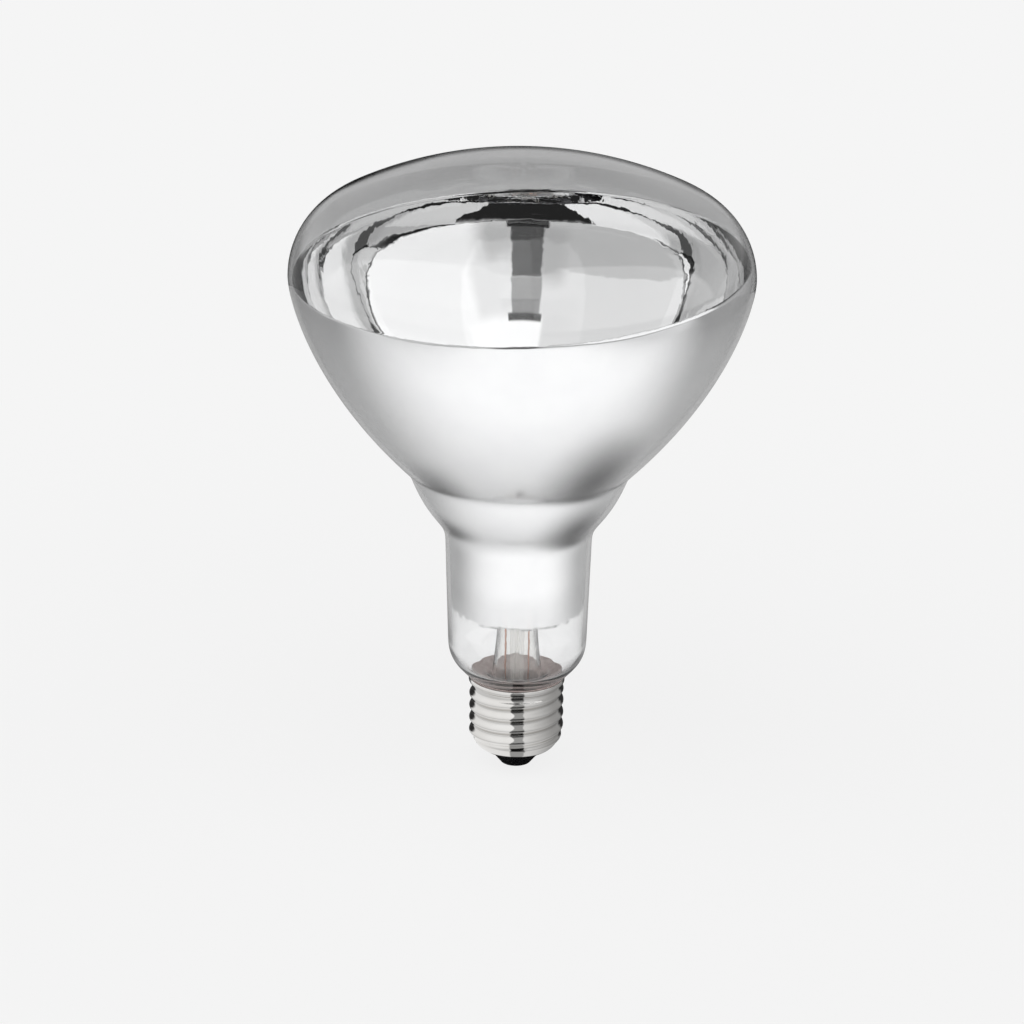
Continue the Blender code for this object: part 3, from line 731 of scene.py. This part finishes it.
def pumping_tube(surface):
    """The exhaust tube, melted shut at its tip."""
    top = PRESS_FOOT_Z - 0.3
    tip = bezier((EXHAUST_R, EXHAUST_TIP_Z + 3.0), (EXHAUST_R, EXHAUST_TIP_Z + 1.0),
                 (EXHAUST_R / 3, EXHAUST_TIP_Z), (0.0, EXHAUST_TIP_Z), 12)
    item = turned("pumping_tube", [(0.0, top), (EXHAUST_R, top), (EXHAUST_R, EXHAUST_TIP_Z + 3.0)] + tip, 40)
    return finish_piece(item, surface, "stem_glass", "exhaust_tube")


def thread_wave(angle, z):
    """How far the rolled thread stands out, 0 to its depth."""
    top = CAP_TOP_Z - MOUTH_LENGTH
    foot = LIP_Z + LIP_DEPTH / 2
    run_out = min(max((top - z) / THREAD_RUN_OUT, 0.0), max((z - foot) / THREAD_RUN_OUT, 0.0), 1.0)
    if angle > math.pi:
        angle -= math.tau
    crest = THREAD_START + THREAD_PITCH * angle / math.tau
    phase = math.tau * (z - crest) / THREAD_PITCH
    return THREAD_DEPTH * run_out * (0.5 + 0.5 * math.cos(phase))


def lip_curve(foot_r, side_r, top, count):
    """Points of the cap's turned-in lip, a quarter of an ellipse from the side wall down."""
    points = []
    for step in range(count + 1):
        angle = math.radians(90 * step / count)
        points.append((foot_r + (side_r - LIP_R) * math.cos(angle), top - LIP_DEPTH * math.sin(angle)))
    return points


def screw_cap(surface):
    """The plated sheet with its rolled thread and turned-in lip."""
    root = CREST_R - THREAD_DEPTH
    mouth_foot = CAP_TOP_Z - MOUTH_LENGTH
    lip_top = LIP_Z + LIP_DEPTH
    side = [(MOUTH_R, CAP_TOP_Z), (MOUTH_R, mouth_foot + 0.5)]
    side += bezier((MOUTH_R, mouth_foot + 0.5), (MOUTH_R, mouth_foot - 0.3), (root, mouth_foot + 0.2),
                   (root, mouth_foot - 0.9), 8)
    rows = 90
    wall_top = mouth_foot - 0.9
    side += [(root, wall_top + (lip_top - wall_top) * step / rows) for step in range(1, rows)]
    side += lip_curve(LIP_R, root, lip_top, 18)

    def roll(row, r, z, angle):
        if row < 2:
            return r, z
        return r + thread_wave(angle, z), z

    item = turned("screw_cap", side, 180, shape=roll)
    sheet = item.modifiers.new("Sheet", "SOLIDIFY")
    sheet.thickness = SHEET * MM
    sheet.offset = -1.0
    sheet.use_even_offset = True
    return finish_piece(item, surface, "cap_plating", "cap_shell")


def insulator(surface):
    """The black glass that closes the cap below."""
    gap = SHEET + 0.05
    root = CREST_R - THREAD_DEPTH
    hole = OUTER_LEAD_R + 0.4
    seat = CONTACT_R + 0.1
    side = [(hole, INSULATOR_TOP), (root - gap, INSULATOR_TOP)]
    side += lip_curve(LIP_R - gap, root, LIP_Z + LIP_DEPTH + gap, 12)
    side += [(LIP_R - gap, LIP_Z), (INSULATOR_FACE_R, INSULATOR_FACE_Z)]
    side += [(seat, INSULATOR_FACE_Z), (seat, CONTACT_SEAT_Z), (hole, CONTACT_SEAT_Z)]
    item = turned("insulator", side, 120, closed=True)
    rounding = item.modifiers.new("Rounding", "BEVEL")
    rounding.width = 0.1 * MM
    rounding.segments = 2
    rounding.angle_limit = math.radians(35)
    return finish_piece(item, surface, "cap_insulator_glass", "cap_insulator")


def contact(surface):
    """The contact plate with its low tinned tip."""
    top = CONTACT_SEAT_Z - 0.05
    plate = [(0.0, top), (CONTACT_R - 0.2, top)]
    plate += arc((CONTACT_R - 0.3, top - 0.35), 0.3, 80, -80, 8)
    plate += bezier((CONTACT_R - 0.4, 0.42), (CONTACT_TIP_R + 0.4, 0.38), (CONTACT_TIP_R + 0.3, 0.0),
                    (CONTACT_TIP_R, 0.0), 8)
    item = turned("contact", plate + [(0.0, 0.0)], 96)
    return finish_piece(item, surface, "contact_brass", "centre_contact")


def cement_ring(surface):
    """The cement between glass and cap, with its uneven upper edge."""
    sheet_r = CREST_R - THREAD_DEPTH - SHEET - 0.1
    mouth_r = MOUTH_R - SHEET - 0.05
    mouth_foot = CAP_TOP_Z - MOUTH_LENGTH
    under = [(r - 0.05, z + 0.05) for r, z in bulb_outline() if r < MOUTH_R and SKIRT_Z + 0.3 < z < WIDEST_Z]
    edge = arc((MOUTH_R - 0.25, CAP_TOP_Z + 0.25), 0.2, 60, -80, 5)
    ring = edge + [(mouth_r, CAP_TOP_Z + 0.03), (mouth_r, mouth_foot + 0.4), (sheet_r, mouth_foot - 0.1)]
    ring += [(sheet_r, SKIRT_Z + 0.3), (under[-1][0], SKIRT_Z + 0.3)] + under[::-1]

    def uneven(row, r, z, angle):
        around = Vector((math.cos(angle), math.sin(angle), row))
        swell = 0.12 * noise.noise(around * 6.0) if row < len(edge) else 0.0
        return r - abs(swell), z

    item = turned("cement_ring", ring, 120, closed=True, shape=uneven)
    return finish_piece(item, surface, "basing_cement", "basing_cement")


def solder_blob(surface):
    """The soldered end of the side lead, on the rim at the back."""
    blob = arc((0.0, 0.0), 1.2, 90, 0, 10)
    blob = [(r, z * 0.95) for r, z in blob]
    item = turned("solder_blob", blob + [(1.15, -0.35), (0.0, -0.35)], 32)
    lift = Matrix.Translation((0.0, (MOUTH_R + 0.2) * MM, (CAP_TOP_Z - 0.75) * MM))
    item.data.transform(lift @ Matrix.Rotation(-math.pi / 2, 4, "X"))
    return finish_piece(item, surface, "solder", "side_solder")


def smooth_path(points, steps):
    """A smooth curve through all points."""
    knots = [Vector(point) for point in points]
    knots = [knots[0] * 2 - knots[1]] + knots + [knots[-1] * 2 - knots[-2]]
    path = []
    for a, b, c, d in zip(knots, knots[1:], knots[2:], knots[3:]):
        for step in range(steps):
            t = step / steps
            bend = (2 * a - 5 * b + 4 * c - d) * t ** 2 + (3 * b - a - 3 * c + d) * t ** 3
            path.append(b + (c - a) * t / 2 + bend / 2)
    path.append(knots[-2])
    return path


def curve_object(name, paths):
    """Poly curves along paths given in millimetres, as one object."""
    curve = bpy.data.curves.new(name, "CURVE")
    curve.dimensions = "3D"
    for path in paths:
        spline = curve.splines.new("POLY")
        spline.points.add(len(path) - 1)
        for point, place in zip(spline.points, path):
            point.co = (place[0] * MM, place[1] * MM, place[2] * MM, 1.0)
    item = bpy.data.objects.new(name, curve)
    bpy.context.scene.collection.objects.link(item)
    return item


def plain_mesh(item):
    """Turn an object into the plain mesh that its modifiers and curves make."""
    depsgraph = bpy.context.evaluated_depsgraph_get()
    mesh = bpy.data.meshes.new_from_object(item.evaluated_get(depsgraph))
    name = item.name
    source = item.data
    bpy.data.objects.remove(item)
    if isinstance(source, bpy.types.Curve):
        bpy.data.curves.remove(source)
    made = bpy.data.objects.new(name, mesh)
    bpy.context.scene.collection.objects.link(made)
    return made


def wires(name, paths, radius, surface, slot, *nodes):
    """Round wires along paths, joined into one piece."""
    item = curve_object(name, paths)
    item.data.bevel_depth = radius * MM
    item.data.bevel_resolution = 4
    item.data.use_fill_caps = True
    item = plain_mesh(item)
    item.data.shade_smooth()
    return finish_piece(item, surface, slot, *nodes)


def filament_point(angle, height=0.0):
    """A point on the filament's ring, angle in degrees."""
    turn = math.radians(angle)
    return Vector((FILAMENT_RING_R * math.cos(turn), FILAMENT_RING_R * math.sin(turn), FILAMENT_Z + height))


def lead_wires(nickel, copper):
    """Inner leads up to the filament, and outer leads down into the cap."""
    inner = []
    for side, angle in ((-1, FILAMENT_START), (1, FILAMENT_START + FILAMENT_SWEEP)):
        top = filament_point(angle, -0.6)
        foot = Vector((side * LEAD_REACH, 0.0, PRESS_FOOT_Z + 4.0))
        rise = top.z - PRESS_TOP_Z
        knee = Vector((foot.x, 0.0, PRESS_TOP_Z + rise * 0.25))
        bend = Vector((top.x, top.y, top.z - rise * 0.3))
        inner.append(smooth_path([foot, knee, bend, top], 12))
    wires("inner_leads", inner, LEAD_R, nickel, "nickel_wire", "lead_inner_left", "lead_inner_right")
    reach = OUTER_LEAD_REACH
    top = PRESS_FOOT_Z + 6.0
    centre = [(-reach, 0.0, top), (-reach, 0.0, 30.0), (-reach, 0.0, EXHAUST_TIP_Z + 2.0)]
    centre += [(-reach / 2, 0.0, (EXHAUST_TIP_Z + INSULATOR_TOP) / 2), (0.0, 0.0, INSULATOR_TOP - 0.3)]
    centre += [(0.0, 0.0, CONTACT_SEAT_Z)]
    side = [(reach, 0.0, top), (reach, 0.0, SKIRT_Z), (reach, GROOVE_R / 2, SKIRT_Z - 2.0)]
    side += [(0.0, GROOVE_R, z) for z in (SKIRT_Z - 1.0, SKIRT_Z + 1.0, CAP_TOP_Z - 2.2)]
    side += [(0.0, 12.4, CAP_TOP_Z - 0.75), (0.0, MOUTH_R, CAP_TOP_Z - 0.75)]
    paths = [smooth_path(centre, 8), smooth_path(side, 8)]
    wires("outer_leads", paths, OUTER_LEAD_R, copper, "copper_wire", "lead_outer_centre", "lead_outer_side")


def geometry_tree(name, sizes):
    """A Geometry Nodes tree with one geometry input and named number inputs."""
    tree = bpy.data.node_groups.new(name, "GeometryNodeTree")
    tree.interface.new_socket("Geometry", in_out="INPUT", socket_type="NodeSocketGeometry")
    for size in sizes:
        tree.interface.new_socket(size, in_out="INPUT", socket_type="NodeSocketFloat")
    tree.interface.new_socket("Geometry", in_out="OUTPUT", socket_type="NodeSocketGeometry")
    return tree, tree.nodes.new("NodeGroupInput"), tree.nodes.new("NodeGroupOutput")


def run_tree(item, tree, sizes):
    """Run a Geometry Nodes tree on an object and keep the plain mesh."""
    modifier = item.modifiers.new("Build", "NODES")
    modifier.node_group = tree
    for socket in tree.interface.items_tree:
        if socket.item_type == "SOCKET" and socket.in_out == "INPUT" and socket.name in sizes:
            modifier[socket.identifier] = sizes[socket.name]
    return plain_mesh(item)


def round_wire(tree, curve, radius, sides):
    """A curve thickened to wire, closed at its ends."""
    profile = add(tree, "GeometryNodeCurvePrimitiveCircle", {"Resolution": sides, "Radius": radius})
    wire = {"Curve": curve, "Profile Curve": profile.outputs[0], "Fill Caps": True}
    return add(tree, "GeometryNodeCurveToMesh", wire).outputs[0]


def end_tree(tree, output, geometry, surface):
    """Close a tree with real geometry, smooth shading and its material."""
    real = add(tree, "GeometryNodeRealizeInstances", {"Geometry": geometry}).outputs[0]
    smooth = add(tree, "GeometryNodeSetShadeSmooth", {"Geometry": real}).outputs[0]
    done = add(tree, "GeometryNodeSetMaterial", {"Geometry": smooth, "Material": surface}).outputs[0]
    tree.links.new(done, output.inputs[0])


def coiled_filament(surface):
    """The tungsten coil: fine turns wound along the ring, with straight tails."""
    sizes = {"Turns": float(COIL_TURNS), "Coil Radius": COIL_R * MM, "Wire Radius": COIL_WIRE_R * MM,
             "Ring Radius": FILAMENT_RING_R * MM, "Height": FILAMENT_Z * MM,
             "Start": math.radians(FILAMENT_START), "Sweep": math.radians(FILAMENT_SWEEP)}
    tree, given, output = geometry_tree("coiled_filament", sizes)
    line = add(tree, "GeometryNodeCurvePrimitiveLine", {"End": (0.0, 0.0, 1.0)}).outputs[0]
    count = COIL_TURNS * COIL_STEPS + 1
    fine = add(tree, "GeometryNodeResampleCurve", {"Curve": line, "Count": count}).outputs[0]
    along = add(tree, "GeometryNodeSplineParameter").outputs["Factor"]
    angle = calculate(tree, "MULTIPLY_ADD", along, given.outputs["Sweep"], given.outputs["Start"])
    phase = times(tree, along, given.outputs["Turns"], math.tau)
    near_end = calculate(tree, "MINIMUM", along, calculate(tree, "SUBTRACT", 1.0, along))
    opening = calculate(tree, "MAXIMUM", calculate(tree, "MULTIPLY_ADD", near_end, 60.0, -1.5), 0.0)
    reach = times(tree, given.outputs["Coil Radius"], calculate(tree, "MINIMUM", opening, 1.0))
    out = calculate(tree, "COSINE", phase)
    radius = calculate(tree, "MULTIPLY_ADD", out, reach, given.outputs["Ring Radius"])
    rise = calculate(tree, "SINE", phase)
    height = calculate(tree, "MULTIPLY_ADD", rise, reach, given.outputs["Height"])
    x = times(tree, radius, calculate(tree, "COSINE", angle))
    y = times(tree, radius, calculate(tree, "SINE", angle))
    place = add(tree, "ShaderNodeCombineXYZ", {"X": x, "Y": y, "Z": height}).outputs[0]
    wound = add(tree, "GeometryNodeSetPosition", {"Geometry": fine, "Position": place}).outputs[0]
    end_tree(tree, output, round_wire(tree, wound, given.outputs["Wire Radius"], 8), surface)
    item = run_tree(mesh_object("coiled_filament", [], []), tree, sizes)
    return finish_piece(item, surface, "tungsten_wire", "filament")


def filament_hooks(surface):
    """Wire hooks from the glass button, each with an eye round the coil."""
    path = [(BUTTON_R - 0.8, 0.0, BUTTON_Z), (FILAMENT_RING_R - 2 * HOOK_R, 0.0, FILAMENT_Z - HOOK_R)]
    path += [(r, 0.0, z) for r, z in arc((FILAMENT_RING_R, FILAMENT_Z), HOOK_R - 0.3, -90, 230, 30)]
    spacing = FILAMENT_SWEEP / HOOK_COUNT
    sizes = {"Wire Radius": HOOK_WIRE_R * MM, "Start": math.radians(FILAMENT_START + spacing / 2),
             "Spacing": math.radians(spacing)}
    tree, given, output = geometry_tree("filament_hooks", sizes)
    hook = round_wire(tree, given.outputs["Geometry"], given.outputs["Wire Radius"], 10)
    spots = add(tree, "GeometryNodePoints", {"Count": HOOK_COUNT}).outputs[0]
    index = add(tree, "GeometryNodeInputIndex").outputs[0]
    angle = calculate(tree, "MULTIPLY_ADD", index, given.outputs["Spacing"], given.outputs["Start"])
    turn = add(tree, "ShaderNodeCombineXYZ", {"Z": angle}).outputs[0]
    hooks = add(tree, "GeometryNodeInstanceOnPoints", {"Points": spots, "Instance": hook, "Rotation": turn})
    end_tree(tree, output, hooks.outputs[0], surface)
    item = run_tree(curve_object("filament_hooks", [path]), tree, sizes)
    names = ["filament_support_%d" % (count + 1) for count in range(HOOK_COUNT)]
    return finish_piece(item, surface, "molybdenum_wire", *names)


def card(tree, light, across, up, level, sides, heights, soft):
    """Hang one card in the room: its level between two side angles and two heights, in degrees."""
    mask = times(tree, window(tree, across, *sides, soft), window(tree, up, *heights, soft))
    return blend(tree, mask, light, level)


def polished_level(tree, across, dark_strip, back):
    """Level at a side angle as the polished cap mirrors it, with a dark strip in front and a dark back."""
    right = fade(tree, across, *CAP_RIGHT_ANGLES, *CAP_RIGHT_LEVELS)
    sides = blend(tree, fade(tree, across, 0.0, 4.0, 0.0, 1.0), CAP_LEFT_LEVEL, right)
    behind = fade(tree, calculate(tree, "ABSOLUTE", across), *CAP_BACK_ANGLES, 0.0, 1.0)
    sides = blend(tree, behind, sides, back)
    return blend(tree, window(tree, across, *CAP_STRIP), sides, dark_strip)


def by_polished(tree, path):
    """A mask for rays that come straight from the polished cap, neither through clear glass nor off it."""
    other = calculate(tree, "MAXIMUM", path["Is Transmission Ray"], path["Is Singular Ray"])
    return times(tree, path["Is Glossy Ray"], calculate(tree, "SUBTRACT", 1.0, other))


def room_light(tree, path, direction, across, up):
    """The room as glass and mirror show it: bright on the right, greyer on the left, dark behind."""
    seen_low = fade(tree, up, -24.0, -9.0, BACK_FLOOR_LEVEL, BACK_LEVEL)
    low = blend(tree, mirrored_ray(tree, path), seen_low, BACK_LEVEL)
    light = blend(tree, fade(tree, up, 6.0, 28.0, 0.0, 1.0), low, DARK_LEVEL)
    left_level = fade(tree, dot(tree, direction, LEFT_EDGE), -0.01, 0.01, *LEFT_LEVELS)
    light = card(tree, light, across, up, left_level, *LEFT_CARD)
    for level, sides, heights, soft in STUDIO_CARDS:
        light = card(tree, light, across, up, level, sides, heights, soft)
    off_glass = times(tree, path["Is Singular Ray"], path["Is Reflection Ray"])
    outline = blend(tree, off_glass, 1.0, fade(tree, up, -4.0, 3.0, OUTLINE_LEVEL, 1.0))
    return times(tree, light, outline)


def room_by_cap(tree, across, up):
    """The room as the polished cap mirrors it."""
    strip = fade(tree, up, 11.0, 21.0, *CAP_STRIP_LEVELS)
    back = fade(tree, up, 8.0, 24.0, *CAP_BACK_LEVELS)
    rise = fade(tree, up, 0.0, 50.0, *CAP_SHADE)
    return times(tree, polished_level(tree, across, strip, back), rise)


def studio_world():
    """The room round the bulb, plain to the camera and full of cards to glass and metal."""
    world = bpy.data.worlds.new("studio")
    bpy.context.scene.world = world
    world.use_nodes = True
    tree = world.node_tree
    tree.nodes.clear()
    direction = add(tree, "ShaderNodeTexCoord").outputs["Generated"]
    x, y, z = add(tree, "ShaderNodeSeparateXYZ", {"Vector": direction}).outputs
    across = side_angle(tree, x, y)
    up = times(tree, calculate(tree, "ARCSINE", z), 180.0 / math.pi)
    path = add(tree, "ShaderNodeLightPath").outputs
    light = room_light(tree, path, direction, across, up)
    light = blend(tree, by_polished(tree, path), light, room_by_cap(tree, across, up))
    level = blend(tree, path["Is Camera Ray"], light, BACKDROP)
    color = add(tree, "ShaderNodeCombineColor", {"Red": level, "Green": level, "Blue": level}).outputs[0]
    background = add(tree, "ShaderNodeBackground", {"Color": color})
    add(tree, "ShaderNodeOutputWorld", {"Surface": background.outputs[0]})


def shade(tree, x, y, middle, reach, least):
    """A soft painted shadow patch on the floor, as a factor from its least to one."""
    across = calculate(tree, "DIVIDE", calculate(tree, "SUBTRACT", x, middle[0]), reach[0])
    along = calculate(tree, "DIVIDE", calculate(tree, "SUBTRACT", y, middle[1]), reach[1])
    return fade(tree, distance_of(tree, across, along), 0.0, 1.0, least, 1.0)


def painted_floor_pool(tree, x, y, across):
    """The floor as glass and mirror show it, a painted pool of light: bright in front, greyer behind and to
    the sides, with painted shadow patches and a painted dark strip far in front.
    """
    aside = calculate(tree, "ABSOLUTE", calculate(tree, "SUBTRACT", x, 0.025))
    shades = [fade(tree, y, -0.40, -0.29, 0.5, 1.0), fade(tree, aside, 0.06, 0.32, 1.0, 0.66)]
    shades += [shade(tree, x, y, *patch) for patch in PAINTED_FLOOR_SHADOWS]
    pool = times(tree, fade(tree, y, -0.11, 0.07, FLOOR_FRONT_LEVEL, FLOOR_BACK_LEVEL), *shades)
    strip = times(tree, window(tree, across, *FLOOR_FAR_STRIP), fade(tree, y, -0.55, -0.5, 1.0, 0.0))
    return blend(tree, strip, pool, DARK_LEVEL)


def floor_by_cap(tree, around, across):
    """The floor as the polished cap mirrors it, with a painted contact shadow and a painted dark band round
    the bulb.
    """
    band = window(tree, around, *PAINTED_DARK_BAND)
    # Painted dark strip on the floor in front of the cap, darkest inside the painted band
    dark_strip = blend(tree, band, *CAP_STRIP_FLOOR_LEVELS)
    under = fade(tree, around, *CONTACT_SHADE, DARK_LEVEL, 1.0)
    band_shade = calculate(tree, "MULTIPLY_ADD", band, PAINTED_BAND_DEPTH, 1.0)
    return times(tree, under, band_shade, polished_level(tree, across, dark_strip, CAP_BACK_FLOOR_LEVEL))


def stage_material(name):
    """An empty material for the stage, with its tree and its light path."""
    material = bpy.data.materials.new(name)
    material.use_nodes = True
    tree = material.node_tree
    tree.nodes.clear()
    return material, tree, add(tree, "ShaderNodeLightPath").outputs


def grey_glow(tree, level):
    """An even glow of one grey level."""
    return add(tree, "ShaderNodeEmission", {"Color": (level, level, level, 1.0)}).outputs[0]


def studio_floor():
    """A plain pale floor, flat to the camera but for the bulb's shadow."""
    corners = [(-FLOOR_SIDE, -FLOOR_FRONT, 0.0), (FLOOR_SIDE, -FLOOR_FRONT, 0.0),
               (FLOOR_SIDE, FLOOR_BACK, 0.0), (-FLOOR_SIDE, FLOOR_BACK, 0.0)]
    floor = mesh_object("floor", corners, [(0, 1, 2, 3)])
    material, tree, path = stage_material("pale_floor")
    place = add(tree, "ShaderNodeTexCoord").outputs["Object"]
    x, y, _ = add(tree, "ShaderNodeSeparateXYZ", {"Vector": place}).outputs
    across = side_angle(tree, x, y)
    # To rays off the metal and through the glass the floor glows as painted light: a painted pool with
    # painted shadows, greying towards the back
    by_cap = floor_by_cap(tree, distance_of(tree, x, y), across)
    pool = blend(tree, by_polished(tree, path), painted_floor_pool(tree, x, y, across), by_cap)
    behind = fade(tree, y, 0.24, FLOOR_BACK, FLOOR_NEAR_LEVEL, BACK_FLOOR_LEVEL)
    level = blend(tree, mirrored_ray(tree, path), behind, pool)
    shown = add(tree, "ShaderNodeEmission", {"Color": (1.0, 1.0, 1.0, 1.0), "Strength": level}).outputs[0]

    paper = add(tree, "ShaderNodeBsdfDiffuse", {"Color": (0.9, 0.9, 0.9, 1.0)}).outputs[0]
    flat = grey_glow(tree, BACKDROP)
    distance = add(tree, "ShaderNodeVectorMath", {0: place}, operation="LENGTH").outputs["Value"]
    far = fade(tree, distance, *SHADOW_REACH, 1.0 - SHADOW_SHARE, 1.0)
    share = times(tree, path["Is Camera Ray"], far)
    plain = add(tree, "ShaderNodeMixShader", {0: share, 1: paper, 2: flat}).outputs[0]
    by_glass = calculate(tree, "MAXIMUM", path["Is Glossy Ray"], path["Is Transmission Ray"])
    mixed = add(tree, "ShaderNodeMixShader", {0: by_glass, 1: plain, 2: shown}).outputs[0]
    add(tree, "ShaderNodeOutputMaterial", {"Surface": mixed})
    floor.data.materials.append(material)


def neck_surround():
    """A ring on the floor round the neck, glowing pale grey as painted light for the lit floor, and seen
    only straight through the clear glass.
    """
    count = SURROUND_SEGMENTS
    turns = [math.tau * step / count for step in range(count)]
    points = [(SURROUND_R * math.cos(turn), SURROUND_R * math.sin(turn), height)
              for height in (SURROUND_FOOT, SURROUND_TOP) for turn in turns]
    faces = [(step, (step + 1) % count, (step + 1) % count + count, step + count) for step in range(count)]
    ring = mesh_object("neck_surround", points, faces)
    material, tree, path = stage_material("neck_surround")
    clear = add(tree, "ShaderNodeBsdfTransparent").outputs[0]
    either = {0: mirrored_ray(tree, path), 1: grey_glow(tree, FLOOR_NEAR_LEVEL), 2: clear}
    add(tree, "ShaderNodeOutputMaterial", {"Surface": add(tree, "ShaderNodeMixShader", either).outputs[0]})
    ring.data.materials.append(material)
    for seen_by in ("visible_camera", "visible_diffuse", "visible_glossy", "visible_shadow"):
        setattr(ring, seen_by, False)


def studio_lamp():
    """One large soft lamp overhead, which gives the bulb its shadow."""
    light = bpy.data.lights.new("overhead_lamp", "AREA")
    light.shape = "RECTANGLE"
    light.size = LAMP_SIZE
    light.size_y = LAMP_SIZE
    light.energy = LAMP_POWER
    lamp = bpy.data.objects.new("overhead_lamp", light)
    lamp.location = LAMP_PLACE
    lamp.rotation_euler = (Vector(LAMP_PLACE) - Vector(LAMP_AIM)).to_track_quat("Z", "Y").to_euler()
    lamp.visible_glossy = False
    lamp.visible_transmission = False
    bpy.context.scene.collection.objects.link(lamp)


def photograph_camera():
    """The camera at the photograph's place, tilt and lens."""
    data = bpy.data.cameras.new("camera")
    data.lens = CAMERA_LENS
    data.sensor_width = 36.0
    camera = bpy.data.objects.new("camera", data)
    tilt = Matrix.Rotation(math.radians(90.0 - CAMERA_PITCH), 4, "X")
    roll = Matrix.Rotation(math.radians(CAMERA_ROLL), 4, "Z")
    camera.matrix_world = Matrix.Translation(Vector(CAMERA_PLACE) * MM) @ tilt @ roll
    bpy.context.scene.collection.objects.link(camera)
    bpy.context.scene.camera = camera


def main():
    bpy.context.scene.view_settings.view_transform = "Standard"
    photograph_camera()
    studio_world()
    studio_floor()
    neck_surround()
    studio_lamp()

    clear = blown_glass()
    pressed = stem_glass()
    glass_bulb(clear)
    coating_layer(mirror_metal(), satin_metal())
    stem_press(pressed)
    pumping_tube(milky_tube())
    nickel = drawn_wire("nickel_wire", (0.50, 0.48, 0.45), (0.68, 0.66, 0.62), 0.28)
    copper = drawn_wire("copper_wire", (0.55, 0.28, 0.20), (0.80, 0.45, 0.34), 0.35)
    lead_wires(nickel, copper)
    coiled_filament(drawn_wire("tungsten_wire", (0.14, 0.14, 0.15), (0.28, 0.28, 0.29), 0.4))
    filament_hooks(drawn_wire("molybdenum_wire", (0.34, 0.34, 0.35), (0.52, 0.52, 0.53), 0.35))
    screw_cap(plated_sheet())
    insulator(black_insulator())
    contact(tinned_brass())
    cement_ring(brown_cement())
    solder_blob(dull_solder())


main()
